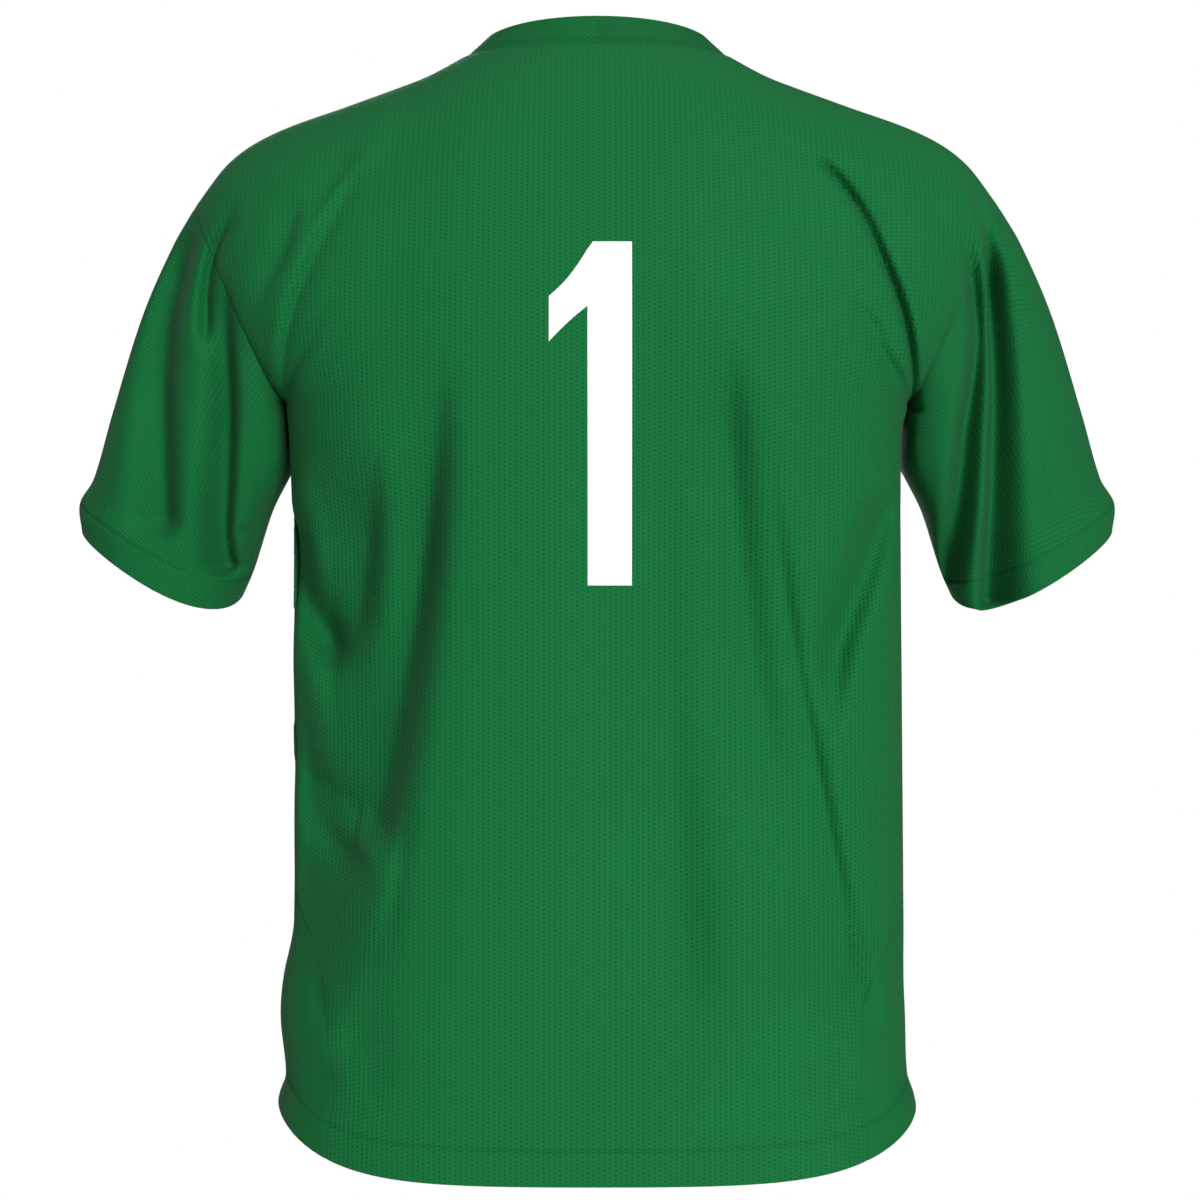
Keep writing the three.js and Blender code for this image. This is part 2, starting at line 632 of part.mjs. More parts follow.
for (const vertex of faceNormals(clothPieces)) {
  vertex.point.addScaledVector(vertex.normal, -foldDepth(vertex));
}
faceNormals(clothPieces);

const smock = new THREE.Group();
for (const piece of clothPieces) smock.add(clothMesh(piece));
smock.add(numberMesh());

export default smock;
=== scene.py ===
import math

import bpy
import numpy as np
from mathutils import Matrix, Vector


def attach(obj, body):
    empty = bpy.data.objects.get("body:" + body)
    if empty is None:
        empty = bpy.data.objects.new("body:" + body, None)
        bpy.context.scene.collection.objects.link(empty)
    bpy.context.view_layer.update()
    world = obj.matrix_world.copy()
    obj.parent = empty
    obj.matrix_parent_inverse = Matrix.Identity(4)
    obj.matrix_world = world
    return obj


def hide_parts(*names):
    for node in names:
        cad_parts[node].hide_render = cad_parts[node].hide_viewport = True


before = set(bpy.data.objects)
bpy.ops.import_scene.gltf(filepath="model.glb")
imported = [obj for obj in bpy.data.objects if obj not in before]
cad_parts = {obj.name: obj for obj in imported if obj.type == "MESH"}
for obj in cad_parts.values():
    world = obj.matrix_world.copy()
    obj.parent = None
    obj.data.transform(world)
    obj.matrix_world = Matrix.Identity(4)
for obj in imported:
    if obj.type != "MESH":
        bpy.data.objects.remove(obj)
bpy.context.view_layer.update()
print("frame loaded:", sorted(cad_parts))

# Cloth is worked out in millimetres, +Z up, and turned to metres when a mesh is made.
# The back faces +Y and the wearer's left arm is at +X.
toMetres = 0.001
leastLength = 1e-9  # no vector is divided by less


def mix(start, end, share):
    return start + (end - start) * share


def smooth(share):
    share = np.clip(share, 0, 1)
    return share * share * (3 - 2 * share)


def unit(vectors):
    return vectors / np.maximum(np.linalg.norm(vectors, axis=-1, keepdims=True), leastLength)


# A table: the names of its columns, then its rows
def rowsOf(columns, *rows):
    return [dict(zip(columns.split(), row)) for row in rows]


# Reads a table at many places along one of its columns, easing through the rows
def readTable(table, key, place):
    keys = np.array([row[key] for row in table], float)
    place = np.asarray(place, float)
    last = len(keys) - 1
    rising = 1 if keys[-1] > keys[0] else -1
    index = np.clip(np.searchsorted(keys * rising, place * rising, side="right") - 1, 0, last - 1)
    span = keys[index + 1] - keys[index]
    share = np.clip((place - keys[index]) / span, 0, 1)
    before = np.maximum(np.arange(last + 1) - 1, 0)
    after = np.minimum(np.arange(last + 1) + 1, last)
    reading = {}
    for column in table[0]:
        values = np.array([row[column] for row in table], float)
        slopes = (values[after] - values[before]) / (keys[after] - keys[before])
        reading[column] = (
            values[index] * (2 * share**3 - 3 * share**2 + 1)
            + slopes[index] * span * (share**3 - 2 * share**2 + share)
            + values[index + 1] * (3 * share**2 - 2 * share**3)
            + slopes[index + 1] * span * (share**3 - share**2)
        )
    return reading


# The cut of the body: sections from the hem up, the shoulder seam, and the edges of the side inserts
body = {
    "power": 2.7,  # of the rounded section, where 2 is an ellipse
    "archPower": 2.2,  # of the arch from the armpit to the shoulder
    "underarm": -229,
    "hemCentre": -717.5,
    "hemLeft": -685,
    "hemRight": -689,
    "hemCorner": 4.2,
    "armholeBack": 72,
    "armholeFront": -78,
    "armholeClosing": 0.42,
    "creaseGap": 5,
    "creaseEase": 4,
    "insertAtArmBack": 0.92,
    "insertAtArmFront": 1.12,
    "outwardWidth": 207,  # of the rounded section that gives the way out of the cloth
    "outwardDepth": 128,
    "sections": rowsOf(
        "height left right back front",
        (-719, 213, 212, 128, 130),
        (-698, 212, 212, 127, 130),
        (-684, 210.5, 210, 126, 129),
        (-670, 206, 205.5, 124, 129),
        (-632, 209.5, 204, 124, 130),
        (-606, 208, 203, 124, 131),
        (-568, 202, 203, 124, 132),
        (-430, 203, 202, 122, 134),
        (-300, 203, 201, 128, 132),
        (-245, 204, 202, 132, 129),
        (-229, 207, 207, 133, 128),
    ),
    "shoulder": rowsOf(
        "across height",
        (89, 4.5),
        (104, -5.5),
        (128, -15),
        (163, -27.5),
        (216, -46.5),
        (245, -65),
        (269, -95),
    ),
    "insert": rowsOf(
        "height backEdge frontEdge",
        (-717, 0.53, 1.44),
        (-660, 0.535, 1.43),
        (-640, 0.545, 1.42),
        (-615, 0.55, 1.4),
        (-592, 0.58, 1.36),
        (-572, 0.66, 1.32),
        (-550, 0.86, 1.27),
        (-530, 0.98, 1.24),
        (-500, 1.03, 1.22),
        (-290, 1.02, 1.2),
        (-229, 0.92, 1.12),
    ),
}

neck = {
    "halfWidth": 89,
    "pointHeight": 4.5,
    "ridgeY": -8,
    "backY": 58,
    "backHeight": 1,
    "frontY": -84,
    "frontHeight": -86,
    "dropPower": 1.8,
    "share": 0.26,
    "bandLean": 0.3,
    "bandLeanAtSide": 1.1,
    "bandRows": (0, 0.6, 1.4, 1.9, 2.4, 3.05, 3.7, 4.3, 6, 8, 10, 12, 14, 15.8, 17.2, 18.2, 18.9, 19.2),
    "stitchRows": (4, 6),
    "bandEase": 2,
    "columns": 240,
    "outwardLift": 20,
}

# Where the roll of the sleeve head meets the flat of the shoulder blade
armpitCrease = rowsOf(
    "across height blend",
    (208, -231, 2.4),
    (203, -215, 1.9),
    (199, -195, 1.9),
    (190, -166, 2.1),
    (176, -133, 2.8),
    (160, -101, 5.5),
    (140, -76, 13),
    (110, -35, 26),
)

# Reach along the sleeve is 0 at the armhole and 1 at the cuff
sleeve = {
    "clearance": 1.3,
    "length": 235,
    "cuffLine": 0.885,
    "hemTilt": 0.5,
    "hemStart": 0.87,
    "hemEase": 0.012,
    "rowStep": 2.4,
    "columnsToShoulder": 108,
    "columnsUnderArm": 16,
    "turnedOutBy": 0.2,
    "middleReachedBy": 0.3,
    "sections": rowsOf(
        "reach innerX innerZ outerX outerZ centreY depth drop",
        (0, 207, -229, 269, -95, -3, 75, 0),
        (0.12, 206, -243, 284, -119, -5, 71, 0),
        (0.34, 206, -268, 306, -166, -11, 67, 3),
        (0.6, 221, -299, 328, -230, -22, 64, 8),
        (0.8, 231, -326, 343, -274, -32, 60, 12),
        (0.89, 236, -339, 353.5, -290, -37, 60, 15),
        (1, 243, -353, 353, -308, -42, 62, 18),
    ),
}


# A point round the body: place 0 is the middle of the back, 1 the side, 2 the middle of the front
def bodyRing(place, height, side):
    row = readTable(body["sections"], "height", height)
    angle = place * math.pi / 2
    power = 2 / body["power"]
    halfWidth = np.where(side > 0, row["left"], row["right"])
    x = side * halfWidth * np.abs(np.sin(angle)) ** power
    y = np.where(np.cos(angle) > 0, row["back"], -row["front"]) * np.abs(np.cos(angle)) ** power
    return np.stack(np.broadcast_arrays(x, y, height), -1)


# A row of the body below the armpit: rise 0 is on the hem, 1 at the armpit
def lowerBody(place, rise, side):
    sideways = np.sin(place * math.pi / 2) ** body["hemCorner"]
    hemSide = np.where(side > 0, body["hemLeft"], body["hemRight"])
    bottom = mix(body["hemCentre"], hemSide, sideways)
    return bodyRing(place, mix(bottom, body["underarm"], rise), side)


def insertEdges(rise):
    return readTable(body["insert"], "height", mix(body["hemLeft"], body["underarm"], rise))


# Where a column of the upper body ends: on the neck seam or on the shoulder seam
def topEdge(isBack, share):
    ridgeY = neck["ridgeY"]
    angle = np.clip(share / neck["share"], 0, 1) * math.pi / 2
    seamY = neck["backY"] if isBack else neck["frontY"]
    seamZ = neck["backHeight"] if isBack else neck["frontHeight"]
    fall = np.clip(np.cos(angle), 0, 1)
    x = neck["halfWidth"] * np.sin(angle)
    y = mix(ridgeY, seamY, fall)
    z = mix(neck["pointHeight"], seamZ, fall ** neck["dropPower"])
    shoulderEnd = body["shoulder"][-1]["across"]
    across = mix(neck["halfWidth"], shoulderEnd, (share - neck["share"]) / (1 - neck["share"]))
    onShoulder = share > neck["share"]
    shoulderZ = readTable(body["shoulder"], "across", across)["height"]
    ends = zip((across, ridgeY, shoulderZ), (x, y, z))
    return [np.where(onShoulder, atShoulder, atNeck) for atShoulder, atNeck in ends]


# How the depth of the upper body closes as it rises
def archDepth(bottomY, topY, rise):
    power = body["archPower"]
    reach = bottomY - neck["ridgeY"]
    left = np.clip((topY - neck["ridgeY"]) / reach, 0, 1)
    return neck["ridgeY"] + reach * (1 - rise**power * (1 - left**power)) ** (1 / power)


# Signed distance to a line of points in the plane of the back, and how far along the line that is
def alongLine(points, x, z):
    nearest, place = np.full(x.shape, np.inf), np.zeros(x.shape)
    count = len(points) - 1
    for index in range(count):
        fromX, fromZ = points[index]
        runX, runZ = points[index + 1][0] - fromX, points[index + 1][1] - fromZ
        offX, offZ = x - fromX, z - fromZ
        along = np.clip((offX * runX + offZ * runZ) / (runX**2 + runZ**2), 0, 1)
        distance = np.hypot(offX - runX * along, offZ - runZ * along)
        sign = np.where(offX * runZ - offZ * runX < 0, -1, 1)
        nearer = distance < np.abs(nearest)
        nearest = np.where(nearer, distance * sign, nearest)
        place = np.where(nearer, (index + along) / count, place)
    return nearest, place


# The larger of two values, with the corner between them eased
def softMax(first, second, ease):
    share = np.clip(0.5 + (second - first) / (2 * ease), 0, 1)
    return mix(first, second, share) + ease * share * (1 - share) / 2


# A row of a panel above the armpit: rise 0 is at the armpit, 1 on the shoulder and neck seams
def upperBody(isBack, share, rise, side):
    place = share * body["insertAtArmBack"] if isBack else 2 - share * (2 - body["insertAtArmFront"])
    bottom = bodyRing(place, body["underarm"], 1)
    topX, topY, topZ = topEdge(isBack, share)
    x = mix(bottom[..., 0], topX, rise)
    z = mix(bottom[..., 2], topZ, rise)
    armholeY = body["armholeBack"] if isBack else body["armholeFront"]
    middleY = bodyRing(0 if isBack else 2, body["underarm"], 1)[1]
    rollY = mix(armholeY, middleY, np.cos(share * math.pi / 2) ** (2 / body["power"]))
    bodyY = archDepth(bottom[..., 1], topY, rise)
    closing = np.sqrt(1 - (1 - np.clip(rise / body["armholeClosing"], 0, 1)) ** 2)
    sleeveSideY = mix(bodyY, archDepth(rollY, topY, rise), closing)
    outwards = np.sign(armholeY)
    behindSleeve = outwards * sleeveSideY - body["creaseGap"]
    bodyY = outwards * softMax(outwards * bodyY, behindSleeve, body["creaseEase"])
    line = [(row["across"], row["height"]) for row in armpitCrease]
    distance, along = alongLine(line, x, z)
    blend = np.interp(along * (len(line) - 1), np.arange(len(line)), [row["blend"] for row in armpitCrease])
    y = mix(bodyY, sleeveSideY, smooth(0.5 + distance / (2 * blend)))
    return np.stack([side * x, y, z], -1)


# A ring of the sleeve: angle 0 is its outer edge, a quarter turn its back
def sleeveRing(reach, angle):
    row = readTable(sleeve["sections"], "reach", reach)
    along = (1 + np.cos(angle)) / 2
    x = mix(row["innerX"], row["outerX"], along)
    y = row["centreY"] + row["depth"] * np.sin(angle)
    sag = row["drop"] * np.sin(angle) * (1 - sleeve["hemTilt"] * np.cos(angle))
    z = mix(row["innerZ"], row["outerZ"], along) - sag
    return np.stack([x, y, z], -1), row


# Keeps the sleeve just clear of the body's side below the armpit
def clearOfBody(points, side):
    x, y, z = points[..., 0], points[..., 1], points[..., 2]
    row = readTable(body["sections"], "height", z)
    depth = np.where(y > 0, row["back"], row["front"])
    sideShare = 1 - np.clip(np.abs(y) / depth, 0, 1) ** body["power"]
    opening = sleeve["clearance"] * smooth((body["underarm"] - z) / (2 * sleeve["clearance"]))
    halfWidth = row["left"] if side > 0 else row["right"]
    least = halfWidth * sideShare ** (1 / body["power"]) + opening
    cleared = np.where(z >= body["underarm"], x, np.maximum(x, least))
    return np.stack([cleared, y, z], -1)


# Folds. Each is a trough pressed in by its depth, or a ridge where that is negative, along a smooth line of
# (across, height) places drawn from its top. The two widths are towards the middle and the side of the body,
# the two fades are how much of the top and the foot dies away, spread is how much wider the foot is, and a
# sharp under 2 makes a crease.
def fold(depth, widths, fades, line, spread=1, sharp=2):
    return {"depth": depth, "widths": widths, "fades": fades, "line": line, "spread": spread, "sharp": sharp}


backFolds = [
    # left of the body
    fold(35, (9.5, 25), (0.36, 0.12), [(97, -195), (101, -255), (108, -310), (115, -360), (124, -410),
         (133, -455), (142, -490), (153, -513)], spread=1.9),
    fold(25, (10, 24), (0.35, 0.5), [(141, -255), (146, -295), (151, -335), (156, -365), (162, -395),
         (167, -440)], spread=1.6),
    fold(28, (14, 12), (0.12, 0.35), [(207, -294), (199, -335), (188, -366), (174, -389), (157, -400)]),
    fold(12, (32, 14), (0.25, 0.25), [(174, -255), (172, -300), (170, -345), (170, -400), (166, -450),
         (160, -500)]),
    fold(19, (18, 14), (0.3, 0.25), [(206, -391), (199, -431), (192, -464), (182, -493), (169, -512),
         (155, -519), (140, -517)]),
    fold(12, (36, 14), (0.4, 0.4), [(180, -490), (184, -540), (190, -590), (197, -630)]),
    fold(20, (42, 16), (0.25, 0.3), [(194, -240), (192, -340), (190, -430), (186, -520), (190, -655)]),
    fold(-1.6, (6, 9), (0.3, 0.12), [(121, -480), (128, -520), (137, -556), (145, -584), (157, -616),
         (170, -640)], sharp=1.4),
    fold(2.6, (6, 5), (0.25, 0.3), [(115, -470), (122, -520), (130, -558), (137, -583), (148, -614)]),
    fold(4, (6, 6), (0.4, 0.4), [(182, -590), (177, -612), (174, -630)]),
    fold(5, (9, 9), (0.4, 0.5), [(190, -652), (174, -660), (156, -656)]),
    fold(6, (20, 24), (0.5, 0.5), [(142, -600), (145, -640), (141, -680)]),
    fold(5, (4, 6), (0.4, 0.4), [(203, -560), (204, -585), (203, -610)]),
    # right of the body
    fold(18, (28, 11), (0.2, 0.4), [(-77, -185), (-80, -250), (-85, -310), (-92, -375), (-102, -440),
         (-111, -500), (-120, -560)], spread=2.0),
    fold(12, (30, 6), (0.4, 0.12), [(-95, -215), (-105, -270), (-112, -315), (-119, -360), (-127, -405),
         (-135, -445), (-143, -485), (-152, -530), (-161, -575), (-169, -612), (-174, -636)], sharp=1.3),
    fold(14, (36, 19), (0.35, 0.2), [(-32, -120), (-35, -250), (-38, -350), (-42, -450), (-50, -560),
         (-57, -660)], spread=1.2),
    fold(19, (17, 9), (0.12, 0.4), [(-192, -282), (-178, -324), (-164, -358), (-153, -388), (-147, -420),
         (-137, -462)]),
    fold(3, (8, 6), (0.2, 0.5), [(-190, -285), (-176, -318), (-162, -345)]),
    # creases from the shoulders to the armpits, and the small ones that run into them
    fold(4, (8, 3.4), (0.35, 0.02), [(136, -76), (150, -88), (161, -102), (172, -121), (182, -146),
         (192, -171), (199, -195), (204, -217), (209, -238)], sharp=1.8),
    fold(13, (2.8, 2.2), (0.12, 0.02), [(-134, -76), (-150, -88), (-161, -102), (-172, -121), (-182, -146),
         (-192, -171), (-199, -195), (-204, -217), (-209, -238)], sharp=1.5),
    fold(4.5, (5, 13), (0.35, 0.4), [(146, -66), (157, -80), (170, -98), (180, -115), (188, -132)]),
    fold(2.5, (9, 4), (0.3, 0.4), [(-134, -62), (-151, -79), (-166, -100), (-181, -123), (-192, -140),
         (-206, -156)]),
    fold(5.5, (5, 12), (0.3, 0.4), [(188, -98), (193, -120), (199, -140), (209, -158), (219, -178)]),
    fold(6, (4, 11), (0.9, 0.05), [(150, -164), (172, -186), (184, -202), (196, -218),
         (207, -232)], sharp=1.6),
    fold(8, (8, 3.6), (0.6, 0.05), [(-156, -176), (-176, -197), (-189, -213), (-206, -232)], sharp=1.6),
    fold(4, (5, 3), (0.5, 0.5), [(-152, -164), (-172, -184), (-188, -203)]),
    # left sleeve
    fold(14, (5.5, 4), (0.4, 0.2), [(229, -97), (240, -117), (249, -131), (254, -153), (255, -176),
         (255, -202)], sharp=1.7),
    fold(26, (6, 9), (0.5, 0.06), [(239, -140), (240, -163), (241, -190), (241, -227), (243, -255),
         (246, -283), (250, -315), (248, -345)], spread=1.3),
    fold(23, (11, 17), (0.3, 0.08), [(262, -98), (270, -120), (279, -146), (285, -172), (288, -209),
         (288, -246), (288, -283), (288, -324)]),
    fold(4, (6, 6), (0.5, 0.5), [(236, -306), (231, -322)]),
    # right sleeve
    fold(35, (3.4, 5), (0.22, 0.04), [(-251, -108), (-257, -134), (-260, -162), (-262, -190), (-263, -227),
         (-263, -264), (-264, -302), (-265, -335), (-267, -368)], spread=2.6),
    fold(27, (6, 4.5), (0.35, 0.02), [(-231, -112), (-239, -132), (-245, -153), (-249, -176), (-249, -195),
         (-246, -222), (-243, -246), (-242, -274), (-240, -312), (-236, -352)], spread=1.6),
    fold(3, (14, 5), (0.3, 0.2), [(-262, -130), (-270, -153), (-278, -190), (-286, -236), (-293, -274),
         (-298, -302), (-308, -318)], sharp=1.3),
    fold(2.5, (8, 4), (0.3, 0.3), [(-206, -86), (-219, -112), (-229, -135), (-232, -162), (-233, -200),
         (-230, -246)], sharp=1.5),
    fold(2, (5, 4), (0.4, 0.4), [(-240, -84), (-250, -104), (-258, -126)]),
]
frontFolds = [
    fold(10, (8, 20), (0.35, 0.3), [(86, -215), (92, -290), (102, -360), (116, -430),
         (134, -500)], spread=1.3),
    fold(6, (7, 18), (0.4, 0.4), [(130, -280), (138, -350), (150, -430), (165, -500)], spread=1.3),
    fold(8, (9, 12), (0.2, 0.4), [(200, -300), (186, -350), (168, -395), (150, -420)]),
    fold(-3.5, (7, 6), (0.3, 0.3), [(120, -500), (132, -560), (150, -620), (168, -655)], sharp=1.6),
    fold(6, (16, 15), (0.4, 0.4), [(150, -520), (158, -570), (172, -620)]),
    fold(4, (18, 24), (0.4, 0.4), [(40, -300), (46, -400), (52, -500), (60, -610)]),
    fold(9, (9, 22), (0.3, 0.35), [(-84, -210), (-92, -290), (-104, -370), (-118, -450),
         (-130, -530)], spread=1.3),
    fold(5, (22, 7), (0.25, 0.25), [(-128, -300), (-140, -380), (-152, -460), (-168, -540),
         (-184, -630)], sharp=1.4),
    fold(7, (10, 12), (0.2, 0.4), [(-196, -310), (-180, -355), (-164, -400)]),
    fold(4, (20, 22), (0.4, 0.4), [(-48, -360), (-52, -460), (-60, -560)]),
    fold(6, (10, 4.5), (0.35, 0.02), [(112, -70), (136, -96), (158, -130), (178, -168), (194, -204),
         (208, -236)], sharp=1.7),
    fold(6, (10, 4.5), (0.3, 0.02), [(-116, -72), (-138, -98), (-158, -130), (-178, -168), (-194, -204),
         (-208, -236)], sharp=1.7),
    fold(4, (5, 9), (0.8, 0.05), [(150, -170), (176, -198), (206, -232)], sharp=1.7),
    fold(4, (5, 9), (0.8, 0.05), [(-148, -166), (-174, -196), (-206, -232)], sharp=1.7),
    fold(10, (6, 6), (0.3, 0.15), [(228, -96), (240, -140), (246, -190), (252, -250),
         (254, -320)], spread=1.5, sharp=1.8),
    fold(7, (8, 13), (0.35, 0.25), [(252, -104), (268, -160), (280, -220), (288, -290)]),
    fold(3, (9, 6), (0.3, 0.3), [(296, -170), (308, -220), (322, -290)]),
    fold(9, (7, 5), (0.3, 0.12), [(-226, -94), (-238, -140), (-244, -200), (-246, -262),
         (-242, -330)], spread=1.5, sharp=1.8),
    fold(11, (7, 6), (0.3, 0.15), [(-250, -106), (-264, -160), (-272, -220),
         (-280, -300)], spread=1.6, sharp=1.8),
    fold(3, (9, 6), (0.3, 0.3), [(-290, -180), (-302, -240), (-314, -300)]),
]


# The cloth's thickness, its seams, folds and hems, and how close the rows and columns of a piece are
cloth = {
    "thickness": 0.9,
    "hemThickness": 1.7,
    "hemEase": 3,
    "bandThickness": 1.8,
    "seamGap": -0.3,
    "seamDip": 0.3,
    "seamDipWidth": 1.6,
    "seamDrawWidth": 1.2,
    "seamRows": 8,
    "seamStitchColumns": (1, -2),
    "foldFade": 36,  # folds have their whole depth this far from the middle plane
    "foldReach": 3.2,  # and are worked out to this many of their widths
    "foldSteps": 6,
    "rowStep": 5.8,
    "besideSeam": (0.5, 1.2, 2.4, 4),
    "besidePanelSeam": (0.9, 2.2, 4.4, 7.3),
    "panelWidth": 260,
    "crowding": 0.45,  # how much closer a panel's columns are towards its sides
    "middleGap": 0.02,
    "insertWidth": 100,
    "insertColumns": 30,
    "hemDepth": 20,
    "hemLines": 0.8,
    "hemStitchRows": (8, 10),
    "rowsBelowHemLine": (0, 1, 3, 6, 10, 14, 17),
    "rowsAboveHemLine": (23, 26, 30),
    "evenRowsFrom": 34,
    "evenRisesTo": 0.994,
    "topRises": (0.9955, 0.9985, 1),
    "stitchDip": 0.55,
}


# A smooth line through a few places
def curveThrough(points, steps):
    points = np.array(points, float)
    ends = np.vstack([2 * points[0] - points[1], points, 2 * points[-1] - points[-2]])
    drawn = []
    for index in range(len(points) - 1):
        first, second, third, fourth = ends[index:index + 4]
        for share in np.arange(steps) / steps:
            drawn.append(0.5 * (2 * second + (third - first) * share
                                + (2 * first - 5 * second + 4 * third - fourth) * share**2
                                + (3 * second - first - 3 * third + fourth) * share**3))
    drawn.append(points[-1])
    return np.array(drawn)


# How far the folds of one side push each point inwards
def foldDepth(folds, points):
    depth = np.zeros(points.shape[:-1])
    x, z = points[..., 0], points[..., 2]
    for row in folds:
        line = curveThrough(row["line"], cloth["foldSteps"])
        inner, outer = row["widths"]
        reach = cloth["foldReach"] * max(inner, outer) * max(1, row["spread"])
        near = (x > line[:, 0].min() - reach) & (x < line[:, 0].max() + reach)
        near &= (z > line[:, 1].min() - reach) & (z < line[:, 1].max() + reach)
        if not near.any():
            continue
        distance, along = alongLine(line, x[near], z[near])
        sideways = -distance if line[:, 0].mean() > 0 else distance
        width = np.where(sideways > 0, outer, inner) * mix(1, row["spread"], along)
        taper = smooth(along / row["fades"][0]) * smooth((1 - along) / row["fades"][1])
        depth[near] += row["depth"] * taper * np.exp(-(np.abs(distance / width) ** row["sharp"]))
    return depth


# The way out of the cloth at a point of the body: across the side, or straight back or forwards
def bodyOutward(points):
    x, y = points[..., 0], points[..., 1] - neck["ridgeY"]
    power = body["power"] - 1
    width, depth = body["outwardWidth"], body["outwardDepth"]
    return unit(np.stack([np.sign(x) * (np.abs(x) / width) ** power / width,
                          np.sign(y) * (np.abs(y) / depth) ** power / depth, 0 * x], -1))


# Presses the folds into the cloth, straight towards the middle plane, and less where it turns to the side
def folded(points, middleY):
    offset = points[..., 1] - middleY
    depth = np.where(offset > 0, foldDepth(backFolds, points), -foldDepth(frontFolds, points))
    pressed = points.copy()
    pressed[..., 1] -= depth * smooth(np.abs(offset) / cloth["foldFade"])
    return pressed


# Rows and columns: even steps, with a few close ones beside each seam
def stations(length, step, besideSeam=cloth["besideSeam"]):
    count = max(2, round((length - 2 * besideSeam[-1]) / step))
    middle = np.linspace(besideSeam[-1], length - besideSeam[-1], count + 1)
    start = [0, *besideSeam[:-1]]
    return np.concatenate([start, middle, [length - place for place in reversed(start)]]) / length


# Column places over both halves of a panel, closer together towards the sides, where the folds are
def signedShares(count):
    even = stations(cloth["panelWidth"], cloth["panelWidth"] / count, cloth["besidePanelSeam"])
    half = even * (1 + cloth["crowding"] - cloth["crowding"] * even)
    shares = np.concatenate([-half[:0:-1], half])
    keep = (np.abs(shares) > cloth["middleGap"]) | (np.arange(len(shares)) == len(half) - 1)
    return shares[keep]


# Rows from the hem to the armpit, close together by the hem's edge and its stitching
def hemRises():
    height = body["underarm"] - body["hemLeft"]
    line, half, first = cloth["hemDepth"], cloth["hemLines"], cloth["evenRowsFrom"]
    atLine = [line - 2 * half, line - half, line, line + half, line + 2 * half]
    even = np.linspace(first, height, round((height - first) / cloth["rowStep"]) + 1)
    return np.concatenate([cloth["rowsBelowHemLine"], atLine, cloth["rowsAboveHemLine"], even]) / height


# Rows from the armpit up, closer together at both ends
def topRises(count):
    even = (1 - np.cos(math.pi * np.arange(1, count) / count)) / 2
    return np.concatenate([even[even < cloth["evenRisesTo"]], cloth["topRises"]])


neckEase = {"width": 0.1, "fromStart": 0.25, "fromEnd": 0.12, "pull": 0.5, "passes": 90}


# Eases the slight fold that runs down a panel from each neck point
def easedBelowNeck(grid, shares, isUpper):
    near = np.exp(-((np.abs(shares) - neck["share"]) / neckEase["width"]) ** 2)
    rise = np.cumsum(isUpper) / isUpper.sum()
    keep = np.minimum(smooth(rise / neckEase["fromStart"]), smooth((1 - rise) / neckEase["fromEnd"]))
    weight = (keep[:, None] * near[None])[:, 1:-1, None] * neckEase["pull"]
    eased = grid.copy()
    for _ in range(neckEase["passes"]):
        eased[:, 1:-1] += weight * ((eased[:, :-2] + eased[:, 2:]) / 2 - eased[:, 1:-1])
    return eased


def panelGrid(isBack, columns, upperRows):
    signed = signedShares(columns)
    signed = signed if isBack else -signed
    side = np.where(signed < 0, -1.0, 1.0)
    share = np.abs(signed)
    lower = []
    for rise in hemRises():
        edges = insertEdges(rise)
        place = share * edges["backEdge"] if isBack else 2 - share * (2 - edges["frontEdge"])
        lower.append(lowerBody(place, rise, side))
    upper = [upperBody(isBack, share, rise, side) for rise in topRises(upperRows)]
    isUpper = np.arange(len(lower) + len(upper)) >= len(lower)
    return easedBelowNeck(np.array(lower + upper), signed, isUpper)


def insertGrid(side):
    rows = []
    across = stations(cloth["insertWidth"], cloth["insertWidth"] / cloth["insertColumns"])
    for rise in hemRises():
        edges = insertEdges(rise)
        rows.append(lowerBody(mix(edges["backEdge"], edges["frontEdge"], across), rise, side))
    grid = np.array(rows)
    return grid if side > 0 else grid[:, ::-1]


# The armhole seam, with the angle of each point round the sleeve
def armhole():
    depth = sleeve["sections"][0]["depth"]
    rises = topRises(sleeve["columnsToShoulder"])
    one = np.ones(len(rises))
    backStart = -math.sqrt(1 - (bodyRing(body["insertAtArmBack"], body["underarm"], 1)[1] / depth) ** 2)
    backPoints = upperBody(True, one, rises, 1)[::-1]
    backAngles = np.arccos(mix(backStart, 1, rises))[::-1]
    across = np.linspace(0, 1, sleeve["columnsUnderArm"] + 1)
    under = lowerBody(mix(body["insertAtArmBack"], body["insertAtArmFront"], across), 1.0, 1)
    underAngles = math.pi + np.arcsin(-under[:, 1] / depth)
    frontStart = np.cos(underAngles[-1])
    frontPoints = upperBody(False, one, rises, 1)[:-1]
    frontAngles = 2 * math.pi - np.arccos(mix(frontStart, 1, rises[:-1]))
    points = np.concatenate([backPoints, under, frontPoints])
    return points, np.concatenate([backAngles, underAngles, frontAngles])


# Rows down the sleeve, with five close ones at the cuff stitching
def sleeveReaches():
    even = stations(sleeve["length"], sleeve["rowStep"])
    atLine = sleeve["cuffLine"] + np.arange(-2, 3) * cloth["hemLines"] / sleeve["length"]
    clear = np.abs(even - sleeve["cuffLine"]) > 3 * cloth["hemLines"] / sleeve["length"]
    return np.sort(np.concatenate([even[clear], atLine]))


